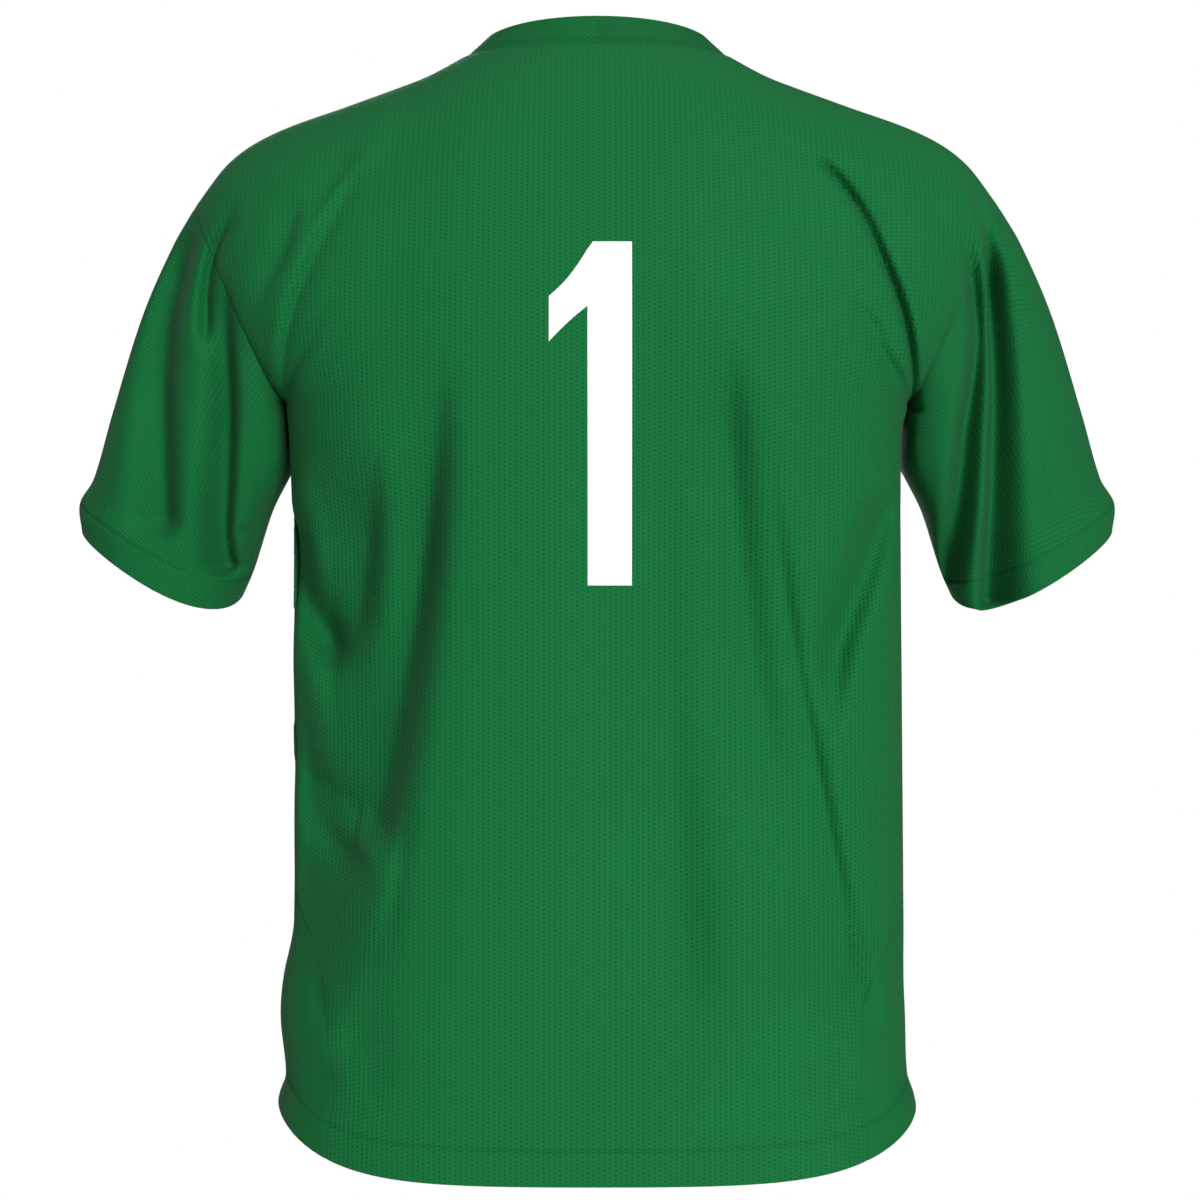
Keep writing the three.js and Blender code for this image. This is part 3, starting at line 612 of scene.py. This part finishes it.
# The sleeve's grid, and the way out of its cloth, which is the body's at the armhole and then its own
def sleeveGrid(side):
    seam, angles = armhole()
    ringStart, _ = sleeveRing(np.zeros(len(angles)), angles)
    rows, outward = [], []
    seamOutward = bodyOutward(seam)
    for reach in sleeveReaches():
        ring, row = sleeveRing(np.full(len(angles), reach), angles)
        offset = (seam - ringStart) * (1 - smooth(reach))
        rows.append(seam if reach == 0 else clearOfBody(ring + offset, side))
        spanX, spanZ = (row["outerX"] - row["innerX"]) / 2, (row["outerZ"] - row["innerZ"]) / 2
        span = spanX**2 + spanZ**2
        radial = np.stack([spanX * np.cos(angles) / span, np.sin(angles) / row["depth"],
                           spanZ * np.cos(angles) / span], -1)
        outward.append(unit(mix(seamOutward, unit(radial), smooth(reach / sleeve["turnedOutBy"]))))
    mirror = np.array([side, 1, 1])
    grid, outward = np.array(rows) * mirror, np.array(outward) * mirror
    return (grid, outward) if side > 0 else (grid[:, ::-1], outward[:, ::-1])


# The neckband's grid: it stands on the neck seam and leans in
def neckGrid():
    turn = np.arange(neck["columns"]) / neck["columns"] * 4
    quarter = np.abs((turn + 1) % 2 - 1)
    share = quarter * neck["share"]
    side = np.where(turn < 2, 1.0, -1.0)
    isBack = (turn < 1) | (turn > 3)
    ends = zip(topEdge(True, share), topEdge(False, share))
    seam = np.stack([np.where(isBack, backEnd, frontEnd) for backEnd, frontEnd in ends], -1)
    seam[:, 0] *= side
    along = unit(np.roll(seam, -1, 0) - np.roll(seam, 1, 0))
    inward = unit(np.stack([-seam[:, 0], neck["ridgeY"] - seam[:, 1], 0 * seam[:, 0]], -1))
    inward *= mix(neck["bandLean"], neck["bandLeanAtSide"], np.sin(quarter * math.pi / 2) ** 2)[:, None]
    inward[:, 2] = 1
    rise = unit(inward - along * (inward * along).sum(-1, keepdims=True))
    return seam[None] + rise[None] * np.array(neck["bandRows"])[:, None, None]


# Normals of a grid, pointing the way that outward does
def gridNormals(grid, wraps, outward):
    across = np.roll(grid, -1, 1) - np.roll(grid, 1, 1) if wraps else np.gradient(grid, axis=1)
    normals = unit(np.cross(across, np.gradient(grid, axis=0)))
    return normals * np.sign((normals * outward).sum(-1).mean())


# Flat pattern in metres: across the piece from its middle, up it from its first row, and once round it
def patternOf(grid, wraps):
    middle = 0 if wraps else grid.shape[1] // 2
    across = np.diff(grid, axis=1, append=grid[:, :1] if wraps else grid[:, -1:])
    across = np.hypot(across[..., 0], across[..., 1])
    u = np.concatenate([np.zeros((len(grid), 1)), np.cumsum(across, 1)[:, :-1]], 1)
    u = u - u[:, middle:middle + 1]
    rise = np.linalg.norm(np.diff(grid, axis=0), axis=-1)
    v = np.concatenate([np.zeros((1, grid.shape[1])), np.cumsum(rise, 0)], 0)
    around = np.repeat(across.sum(1, keepdims=True), grid.shape[1], 1)
    return np.stack([u, v, around], -1) * toMetres


def addObject(name, data):
    made = bpy.data.objects.new(name, data)
    bpy.context.scene.collection.objects.link(made)
    return made


# A closed wall of cloth: outer layer, inner layer, and a rounded edge all round
def clothWall(name, grid, normals, thickness, pattern, wraps, material):
    rows, columns = grid.shape[:2]
    inner = grid - normals * thickness[..., None]
    count = rows * columns
    index = np.arange(count).reshape(rows, columns)
    corners = np.concatenate([index, index[:, :1]], 1) if wraps else index
    quads = np.stack([corners[:-1, :-1], corners[:-1, 1:], corners[1:, 1:], corners[1:, :-1]], -1)
    quads = quads.reshape(-1, 4)
    if wraps:
        loops = [index[0], index[-1][::-1]]
    else:
        loops = [np.concatenate([index[0], index[1:, -1], index[-1, -2::-1], index[-2:0:-1, 0]])]
    points = [grid.reshape(-1, 3), inner.reshape(-1, 3)]
    faces = [quads, quads[:, ::-1] + count]
    flatPattern = pattern.reshape(-1, 3)
    patterns = [flatPattern, flatPattern]
    total = 2 * count
    for loop in loops:
        row, column = np.divmod(loop, columns)
        insideRow = np.clip(row, 1, rows - 2)
        insideColumn = column if wraps else np.clip(column, 1, columns - 2)
        edge = grid[row, column]
        outward = normals[row, column]
        away = unit(edge - grid[insideRow, insideColumn])
        away = unit(away - outward * (away * outward).sum(-1, keepdims=True))
        half = thickness[row, column][:, None] / 2
        chain = [loop]
        for turn in (math.pi / 4, math.pi / 2, 3 * math.pi / 4):
            points.append(edge - outward * half * (1 - math.cos(turn)) + away * half * math.sin(turn))
            patterns.append(flatPattern[loop])
            chain.append(np.arange(len(loop)) + total)
            total += len(loop)
        chain.append(loop + count)
        for near, far in zip(chain[:-1], chain[1:]):
            faces.append(np.stack([near, far, np.roll(far, -1), np.roll(near, -1)], -1))
    faces = np.concatenate(faces)
    outerNormal = np.cross(grid[1, 1] - grid[0, 0], grid[1, 0] - grid[0, 1])
    if (outerNormal * normals[0, 0]).sum() > 0:
        faces = faces[:, ::-1]
    return meshObject(name, np.concatenate(points) * toMetres, faces, np.concatenate(patterns), material)


def meshObject(name, points, faces, patterns, material):
    mesh = bpy.data.meshes.new(name)
    mesh.from_pydata(points.tolist(), [], faces.tolist())
    layer = mesh.uv_layers.new(name="pattern")
    corners = patterns[faces]
    if corners.shape[-1] == 3:  # where a face closes a ring, its far corners are one turn on
        behind = corners[..., 0] < corners[..., 0].max(1, keepdims=True) - corners[..., 2] / 2
        corners[..., 0] += np.where(behind, corners[..., 2], 0)
    layer.data.foreach_set("uv", corners[..., :2].astype(np.float32).ravel())
    mesh.polygons.foreach_set("use_smooth", np.ones(len(mesh.polygons), bool))
    mesh.materials.append(material)
    mesh.update()
    return addObject(name, mesh)


# Draws each sewn edge back by half of the seam gap and half of the cloth's thickness, and rolls it in
def sewnEdges(grid, outward, sewn):
    pulled = grid.copy()
    half = cloth["seamGap"] / 2 + cloth["thickness"] / 2
    for edge in sewn:
        faces = [grid, outward, pulled]
        if edge in ("start", "end"):
            faces = [face.transpose(1, 0, 2) for face in faces]
        if edge in ("top", "end"):
            faces = [face[::-1] for face in faces]
        lines, ways, target = faces
        away = unit(lines[1] - lines[0])
        for index in range(cloth["seamRows"]):
            distance = np.linalg.norm(lines[index] - lines[0], axis=-1)[:, None]
            roll = cloth["seamDip"] * np.exp(-((distance / cloth["seamDipWidth"]) ** 2))
            draw = half * np.exp(-((distance / cloth["seamDrawWidth"]) ** 2))
            target[index] += away * draw - ways[index] * roll
    return pulled


# Adds nodes to a tree. An input is a value, a socket to link, or a node, which gives its first output.
def nodeMaker(tree):
    def add(kind, inputs=(), **settings):
        node = tree.nodes.new(kind)
        for key, value in settings.items():
            setattr(node, key, value)
        for socket, value in dict(inputs).items():
            if isinstance(value, bpy.types.Node):
                value = value.outputs[0]
            if isinstance(value, bpy.types.NodeSocket):
                tree.links.new(value, node.inputs[socket])
            else:
                node.inputs[socket].default_value = value
        return node

    def calc(operation, *values):
        return add("ShaderNodeMath", dict(enumerate(values)), operation=operation)

    return add, calc


finish = {"Roughness": 0.8, "Specular IOR Level": 0.08, "Sheen Weight": 0.04, "Sheen Roughness": 0.45,
          "Sheen Tint": (0.75, 0.9, 0.8, 1)}
printColour = (0.96, 0.955, 0.95)
printFinish = {**finish, "Roughness": 0.45, "Sheen Weight": 0.0}
fabric = {"driftScale": 9.0, "driftDetail": 2.0, "driftShade": 0.10, "yarnScale": 1500.0, "yarnDetail": 1.0,
          "yarnShade": 0.12, "yarnHeight": 0.15, "dimpleFloor": 0.1}
plain = {"insertColour": (0.0075, 0.146, 0.0375), "threadColour": (0.0050, 0.098, 0.026),
         "yarnScale": 1300.0, "shade": 0.10, "depth": 0.00008}
# In the knit rows, shade is the painted shade in each dimple, and the last column makes the upper lip darker
# (painted shade) and the lower lip lighter (painted highlight)
knit = rowsOf(
    "name colour across along shift wide tall depth shade lip",
    ("dotted_knit", (0.0078, 0.160, 0.0425), 0.0034, 0.0027, 0.5, 0.40, 0.27, 0.00055, 0.22, 0.32),
    ("sleeve_knit", (0.0075, 0.154, 0.041), 0.0020, 0.0023, 0.36, 0.42, 0.36, 0.00035, 0.36, 0.30),
    ("rib_knit", (0.0076, 0.152, 0.0405), 0.0014, 0.0030, 0.30, 0.42, 0.80, 0.00035, 0.40, 0.20),
)


def startMaterial(name, colour, settings):
    material = bpy.data.materials.new(name)
    material.use_nodes = True
    material.diffuse_color = (*colour, 1)
    shader = material.node_tree.nodes["Principled BSDF"]
    for socket, value in {"Base Color": (*colour, 1), **settings}.items():
        shader.inputs[socket].default_value = value
    return material, shader


def noise(add, place, scale, detail):
    return add("ShaderNodeTexNoise", {"Vector": place, "Scale": scale, "Detail": detail})


# Darkens a colour by a shade, and raises the surface by a height. Inputs 6 and 7 of the mix are its colours.
def shadeAndRaise(material, shader, add, colour, shade, height, depth):
    links = material.node_tree.links
    mixed = add("ShaderNodeMix", {6: (*colour, 1), 7: (0, 0, 0, 1), 0: shade},
                data_type="RGBA", clamp_factor=False)
    links.new(mixed.outputs[2], shader.inputs["Base Color"])
    bump = add("ShaderNodeBump", {"Height": height, "Distance": depth, "Strength": 1.0})
    links.new(bump.outputs[0], shader.inputs["Normal"])
    return material


# Knit with columns of small dimples, each column shifted against the one before. Each dimple has painted
# shade in its colour, darkest on its upper lip, and a painted highlight on its lower lip, besides its bump.
def dimpledKnit(cut):
    material, shader = startMaterial(cut["name"], cut["colour"], finish)
    add, calc = nodeMaker(material.node_tree)
    uv = add("ShaderNodeUVMap", uv_map="pattern").outputs["UV"]
    parts = add("ShaderNodeSeparateXYZ", {0: uv})
    column = calc("DIVIDE", parts.outputs[0], cut["across"])
    stagger = calc("MULTIPLY", calc("FLOOR", column), cut["shift"])
    row = calc("ADD", calc("DIVIDE", parts.outputs[1], cut["along"]), stagger)
    offAcross = calc("DIVIDE", calc("SUBTRACT", calc("FRACT", column), 0.5), cut["wide"])
    tall = cut["tall"] * cut["across"] / cut["along"]
    offAlong = calc("DIVIDE", calc("SUBTRACT", calc("FRACT", row), 0.5), tall)
    squares = calc("ADD", calc("MULTIPLY", offAcross, offAcross), calc("MULTIPLY", offAlong, offAlong))
    dimple = add("ShaderNodeMapRange", {"Value": calc("SQRT", squares), "From Min": fabric["dimpleFloor"],
                                        "From Max": 1.0, "To Min": 1.0, "To Max": 0.0},
                 interpolation_type="SMOOTHSTEP")
    drift = noise(add, uv, fabric["driftScale"], fabric["driftDetail"])
    yarn = noise(add, uv, fabric["yarnScale"], fabric["yarnDetail"])
    # painted shade in each dimple, deeper on the upper lip, with a painted highlight on the lower lip; the
    # two noises then vary the tone at random
    shade = calc("MULTIPLY", dimple, calc("ADD", cut["shade"] / 2, calc("MULTIPLY", offAlong, cut["lip"])))
    for texture, strength in ((drift, fabric["driftShade"]), (yarn, fabric["yarnShade"])):
        shade = calc("SUBTRACT", shade, calc("MULTIPLY", calc("SUBTRACT", texture, 0.5), strength))
    height = calc("ADD", calc("MULTIPLY", dimple, -1.0), calc("MULTIPLY", yarn, fabric["yarnHeight"]))
    return shadeAndRaise(material, shader, add, cut["colour"], shade, height, cut["depth"])


# Smooth knit and thread: fine yarn, hardly seen
def plainKnit(name, colour, coordinates):
    material, shader = startMaterial(name, colour, finish)
    add, calc = nodeMaker(material.node_tree)
    if coordinates == "pattern":
        place = add("ShaderNodeUVMap", uv_map="pattern").outputs["UV"]
    else:
        place = add("ShaderNodeTexCoord").outputs["Object"]
    yarn = noise(add, place, plain["yarnScale"], fabric["yarnDetail"])
    drift = noise(add, place, fabric["driftScale"], fabric["driftDetail"])
    shade = calc("MULTIPLY", calc("SUBTRACT", calc("ADD", drift, yarn), 1.0), plain["shade"])
    return shadeAndRaise(material, shader, add, colour, shade, yarn, plain["depth"])


dottedKnit, sleeveKnit, ribKnit = [dimpledKnit(cut) for cut in knit]
insertKnit = plainKnit("plain_knit", plain["insertColour"], "pattern")
thread = plainKnit("thread", plain["threadColour"], "object")
whitePrint, _ = startMaterial("white_print", printColour, printFinish)
print("materials ready")

pieces = {}
stitchLines = {"hem": [], "cuff": [], "neck": [], "side_seam": []}


# Thickness of the rows of a piece that starts at the hem
def hemThickness(rowCount):
    height = body["underarm"] - body["hemLeft"]
    rises = hemRises()
    heights = np.concatenate([rises * height, np.full(rowCount - len(rises), height)])
    pastHem = smooth((heights - cloth["hemDepth"]) / cloth["hemEase"])
    return mix(cloth["hemThickness"], cloth["thickness"], pastHem)


# Makes a piece from its grid: draws back its sewn edges, presses in its folds and stitch rows, and walls it.
# middleY is the plane that its folds are pressed towards, and a piece without one isn't folded.
def makeCloth(name, base, outward, wraps, sewn, seam, stitchRows, thickness, material, middleY=None):
    grid = sewnEdges(base, outward, sewn)
    if middleY is not None:
        grid = folded(grid, middleY)
    normals = gridNormals(grid, wraps, outward)
    for row in stitchRows:
        grid[row] -= normals[row] * cloth["stitchDip"]
        stitchLines[seam].append((grid[row], normals[row], wraps))
    thickness = np.repeat(thickness[:, None], base.shape[1], 1)
    pieces[name] = clothWall(name, grid, normals, thickness, patternOf(base, wraps), wraps, material)
    return grid, normals


def makeHemmed(name, base, material):
    return makeCloth(name, base, bodyOutward(base), False, ("top", "start", "end"), "hem",
                     cloth["hemStitchRows"], hemThickness(len(base)), material, neck["ridgeY"])


def makeInsert(name, side):
    grid, normals = makeHemmed(name, insertGrid(side), insertKnit)
    for column in cloth["seamStitchColumns"]:
        stitchLines["side_seam"].append((grid[:, column], normals[:, column], False))


def makeSleeve(name, side):
    base, outward = sleeveGrid(side)
    reaches = sleeveReaches()
    centreY = readTable(sleeve["sections"], "reach", reaches)["centreY"]
    middleY = mix(neck["ridgeY"], centreY, smooth(reaches / sleeve["middleReachedBy"]))[:, None]
    line = int(np.abs(reaches - sleeve["cuffLine"]).argmin())
    inHem = smooth((reaches - sleeve["hemStart"]) / sleeve["hemEase"])
    thickness = mix(cloth["thickness"], cloth["hemThickness"], inHem)
    makeCloth(name, base, outward, True, ("bottom",), "cuff", (line - 1, line + 1),
              thickness, sleeveKnit, middleY)


def makeNeckband(name):
    base = neckGrid()
    lift = np.full(base.shape[:2], neck["outwardLift"])
    outward = unit(np.stack([base[..., 0], base[..., 1] - neck["ridgeY"], lift], -1))
    inBand = smooth(np.array(neck["bandRows"]) / neck["bandEase"])
    thickness = mix(cloth["thickness"], cloth["bandThickness"], inBand)
    makeCloth(name, base, outward, True, ("bottom",), "neck", neck["stitchRows"], thickness, ribKnit)


backGrid, backNormals = makeHemmed("back_cloth", panelGrid(True, columns=124, upperRows=92), dottedKnit)
makeHemmed("front_cloth", panelGrid(False, columns=100, upperRows=80), dottedKnit)
makeInsert("side_cloth_left", 1)
makeInsert("side_cloth_right", -1)
print("panels and inserts made")
makeSleeve("sleeve_cloth_left", 1)
makeSleeve("sleeve_cloth_right", -1)
makeNeckband("neckband_cloth")
print("sleeves and neckband made")

# The number: a stem with a curved flag at its head, laid on the back panel
number = {
    "left": -21.6,
    "right": 5.7,
    "bottom": -349,
    "top": -138,
    "headRight": 2.9,
    "flagRight": 29.3,
    "flagTop": -172,
    "flagBottom": -200,
    "notch": -178,
    "upperSag": 3.5,
    "lowerSag": -1,
    "lift": 0.12,
    "thickness": 0.35,
    "columns": 9,
    "stemRows": 40,
    "flagRows": 14,
    "decimals": 4,
}


# The outer face of a grid at given places across and up, from a curved fit to the nine points round each
def onGrid(grid, normals, x, z):
    rows, columns = grid.shape[:2]
    spots, ways = np.empty(x.shape + (3,)), np.empty(x.shape + (3,))
    for where in np.ndindex(x.shape):
        distance = (grid[..., 0] - x[where]) ** 2 + (grid[..., 2] - z[where]) ** 2
        row, column = divmod(int(distance.argmin()), columns)
        row, column = min(max(row, 1), rows - 2), min(max(column, 1), columns - 2)
        square = grid[row - 1:row + 2, column - 1:column + 2].reshape(-1, 3)
        fit = np.c_[np.ones(len(square)), square[:, 0] - x[where], square[:, 2] - z[where]]
        fit = np.c_[fit, fit[:, 1] ** 2, fit[:, 1] * fit[:, 2], fit[:, 2] ** 2]
        y = np.linalg.lstsq(fit, square[:, 1], rcond=None)[0][0]
        spots[where] = (x[where], y, z[where])
        ways[where] = normals[row, column]
    return spots, ways


# Height of one of the flag's two edges, which run from a corner to the flag's end with a sag between
def flagEdge(x, corner, startZ, endZ, sag):
    along = min(max((x - number[corner]) / (number["flagRight"] - number[corner]), 0), 1)
    return mix(number[startZ], number[endZ], along) - number[sag] * math.sin(math.pi * along)


def makeNumber(name):
    def rounded(x, z):
        return round(x, number["decimals"]), round(z, number["decimals"])

    def flagHeight(x, share):
        notch = flagEdge(x, "right", "notch", "flagBottom", "lowerSag")
        top = flagEdge(x, "headRight", "top", "flagTop", "upperSag")
        return mix(notch, top, share)

    stem = list(np.linspace(number["left"], number["right"], number["columns"]))
    flag = list(np.linspace(number["right"], number["flagRight"], number["columns"]))[1:]
    stemHeights = np.linspace(number["bottom"], number["notch"], number["stemRows"])
    lower = [[rounded(x, z) for x in stem] for z in stemHeights]
    shares = np.linspace(0, 1, number["flagRows"])
    upper = [[rounded(x, flagHeight(x, share)) for x in stem + flag] for share in shares]
    places = sorted({place for row in lower + upper for place in row})
    indexOf = {place: index for index, place in enumerate(places)}
    x, z = np.array(places).T
    spots, ways = onGrid(backGrid, backNormals, x, z)
    top = spots + ways * (number["lift"] + number["thickness"])
    bottom = spots + ways * number["lift"]
    faces = []
    for block in (lower, upper):
        for near, far in zip(block[:-1], block[1:]):
            for column in range(len(near) - 1):
                corners = [near[column], near[column + 1], far[column + 1], far[column]]
                faces.append([indexOf[corner] for corner in corners])
    count = len(places)
    edges = dict.fromkeys(edge for face in faces for edge in zip(face, face[1:] + face[:1]))
    walls = [[end, start, start + count, end + count] for start, end in edges if (end, start) not in edges]
    under = [[corner + count for corner in reversed(face)] for face in faces]
    points = np.concatenate([top, bottom]) * toMetres
    pattern = np.concatenate([np.c_[x, z], np.c_[x, z]]) * toMetres
    everyFace = np.array(faces + under + walls)[:, ::-1]
    pieces[name] = meshObject(name, points, everyFace, pattern, whitePrint)
    pieces[name].data.polygons.foreach_set("use_smooth", np.zeros(len(everyFace), bool))


makeNumber("number_one_print")
print("number made")

# Stitches: small beads of thread, laid one after another along each line by Geometry Nodes
stitches = {"pitch": 2.5, "length": 1.9, "width": 0.5, "height": 0.34, "uneven": 0.12, "seed": 7,
            "segments": 6, "rings": 4}
stitchSizes = ("pitch", "length", "width", "height")


def stitchNodes():
    tree = bpy.data.node_groups.new("stitch_rows", "GeometryNodeTree")
    tree.interface.new_socket("Lines", in_out="INPUT", socket_type="NodeSocketGeometry")
    for label in (*stitchSizes, "uneven"):
        tree.interface.new_socket(label, in_out="INPUT", socket_type="NodeSocketFloat")
    tree.interface.new_socket("seed", in_out="INPUT", socket_type="NodeSocketInt")
    tree.interface.new_socket("Stitches", in_out="OUTPUT", socket_type="NodeSocketGeometry")
    add, calc = nodeMaker(tree)
    given = add("NodeGroupInput").outputs
    line = add("GeometryNodeMeshToCurve", {"Mesh": given["Lines"]})
    line = add("GeometryNodeResampleCurve", {"Curve": line, "Length": given["pitch"]}, mode="LENGTH")
    along = add("GeometryNodeInputTangent")
    out = add("GeometryNodeInputNamedAttribute", {"Name": "out"}, data_type="FLOAT_VECTOR")
    turn = add("FunctionNodeAlignRotationToVector", {"Vector": along}, axis="X")
    turn = add("FunctionNodeAlignRotationToVector", {"Rotation": turn, "Vector": out},
               axis="Z", pivot_axis="X")
    bead = add("GeometryNodeMeshUVSphere", {"Segments": stitches["segments"], "Rings": stitches["rings"],
                                            "Radius": 0.5})
    size = add("ShaderNodeCombineXYZ", dict(enumerate(given[key] for key in stitchSizes[1:])))
    bead = add("GeometryNodeTransform", {"Geometry": bead, "Scale": size})
    least = calc("SUBTRACT", 1.0, given["uneven"])
    share = add("FunctionNodeRandomValue", {"Min": least, "Max": 1.0, "Seed": given["seed"]},
                data_type="FLOAT")
    laid = add("GeometryNodeInstanceOnPoints", {"Points": line, "Instance": bead, "Rotation": turn,
                                                "Scale": share.outputs["Value"]})
    real = add("GeometryNodeRealizeInstances", {"Geometry": laid})
    real = add("GeometryNodeSetShadeSmooth", {"Geometry": real})
    real = add("GeometryNodeSetMaterial", {"Geometry": real, "Material": thread})
    add("NodeGroupOutput", {"Stitches": real})
    return tree


# Each row is a line of points, the way out of the cloth at each, and whether the line closes
def makeStitches(name, tree, rows):
    points, ways, edges = [], [], []
    for line, normals, closed in rows:
        start = len(points)
        points.extend(line * toMetres)
        ways.extend(normals)
        edges.extend((start + step, start + step + 1) for step in range(len(line) - 1))
        if closed:
            edges.append((start + len(line) - 1, start))
    mesh = bpy.data.meshes.new(name + "_lines")
    mesh.from_pydata([tuple(point) for point in points], edges, [])
    out = mesh.attributes.new("out", "FLOAT_VECTOR", "POINT")
    out.data.foreach_set("vector", np.array(ways, np.float32).ravel())
    lines = addObject(name + "_lines", mesh)
    modifier = lines.modifiers.new("stitches", "NODES")
    modifier.node_group = tree
    for socket in tree.interface.items_tree:
        if socket.in_out == "INPUT" and socket.name in stitches:
            scale = toMetres if socket.name in stitchSizes else 1
            modifier[socket.identifier] = stitches[socket.name] * scale
    bpy.context.view_layer.update()
    sewn = bpy.data.meshes.new_from_object(lines.evaluated_get(bpy.context.evaluated_depsgraph_get()))
    bpy.data.objects.remove(lines)
    pieces[name] = addObject(name, sewn)


stitchTree = stitchNodes()
for seam, rows in stitchLines.items():
    makeStitches(seam + "_stitches", stitchTree, rows)
faceCounts = [len(pieces[seam + "_stitches"].data.polygons) for seam in stitchLines]
print("stitches made:", sum(faceCounts), "faces")

# Studio: pale floor, soft lights, and the camera behind the jersey
studio = {
    "cameraX": -0.002,
    "cameraY": 1.5,
    "cameraZ": -0.358,
    "lens": 67.16,
    "sensor": 36,
    "nearest": 0.05,
    "aim": (0, 0, -0.35),
    "surroundings": 0.09,
    "floor": -1.43,
    "floorRadius": 2.2,
    "floorSides": 96,
    "floorColour": (0.9, 0.9, 0.9),
    "floorRoughness": 0.9,
}
lights = rowsOf(
    "name place size power",
    ("key", (-1.75, 5.4, 1.0), 2.1, 303),
    ("top", (0.4, 0.6, 3.0), 1.5, 24),
    ("fill", (-2.6, 0.0, 0.2), 1.2, 1.5),
    ("rim", (2.2, -1.6, 0.1), 1.2, 5),
    ("front", (0.5, -3.6, 0.9), 2.0, 120),
)


def makeCamera():
    camera = addObject("camera", bpy.data.cameras.new("camera"))
    camera.location = (studio["cameraX"], studio["cameraY"], studio["cameraZ"])
    camera.rotation_euler = (math.pi / 2, 0, math.pi)
    camera.data.lens = studio["lens"]
    camera.data.sensor_width = studio["sensor"]
    camera.data.clip_start = studio["nearest"]
    bpy.context.scene.camera = camera


def areaLight(name, place, size, power):
    light = bpy.data.lights.new(name, "AREA")
    light.shape = "DISK"
    light.size = size
    light.energy = power
    made = addObject(name, light)
    made.location = place
    direction = np.array(studio["aim"]) - np.array(place)
    made.rotation_euler = Vector(direction).to_track_quat("-Z", "Y").to_euler()


# The camera sees a white world, which lights the cloth only a little
def makeWorld():
    world = bpy.data.worlds.new("studio")
    bpy.context.scene.world = world
    world.use_nodes = True
    add, _ = nodeMaker(world.node_tree)
    background = world.node_tree.nodes["Background"]
    background.inputs["Color"].default_value = (1, 1, 1, 1)
    seen = add("ShaderNodeLightPath").outputs["Is Camera Ray"]
    strength = add("ShaderNodeMapRange", {"To Min": studio["surroundings"], "To Max": 1.0, "Value": seen})
    world.node_tree.links.new(strength.outputs[0], background.inputs["Strength"])


def makeFloor():
    material, _ = startMaterial("pale_floor", studio["floorColour"], {"Roughness": studio["floorRoughness"]})
    mesh = bpy.data.meshes.new("floor")
    turns = np.linspace(0, 2 * math.pi, studio["floorSides"], endpoint=False)
    radius = studio["floorRadius"]
    rim = [(radius * math.cos(turn), radius * math.sin(turn), studio["floor"]) for turn in turns]
    mesh.from_pydata(rim, [], [list(range(len(rim)))])
    mesh.materials.append(material)
    floor = addObject("floor", mesh)


makeCamera()
makeWorld()
makeFloor()
for light in lights:
    areaLight(**light)
bpy.context.scene.view_settings.view_transform = "Standard"
print("studio ready")

sheets = [
    ("back_cloth", "back_panel", "dotted_knit", (0.54, 0.76), 0.385),
    ("front_cloth", "front_panel", "dotted_knit", (0.54, 0.68), 0.335),
    ("side_cloth_left", "side_insert_left", "plain_knit", (0.20, 0.49), 0.042),
    ("side_cloth_right", "side_insert_right", "plain_knit", (0.20, 0.49), 0.042),
    ("sleeve_cloth_left", "sleeve_left", "sleeve_knit", (0.40, 0.28), 0.078),
    ("sleeve_cloth_right", "sleeve_right", "sleeve_knit", (0.40, 0.28), 0.078),
    ("neckband_cloth", "neckband", "rib_knit", (0.52, 0.019), None),
    ("number_one_print", "number_one", "white_print", (0.051, 0.211), 0.0065),
]
for name, slotName in (("hem_stitches", "dotted_knit"), ("cuff_stitches", "sleeve_knit"),
                       ("neck_stitches", "rib_knit"), ("side_seam_stitches", "plain_knit")):
    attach(pieces[name], "root")
for name, node, slotName, flat, area in sheets:
    piece = pieces[name]
    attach(piece, "root")
    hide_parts(node)
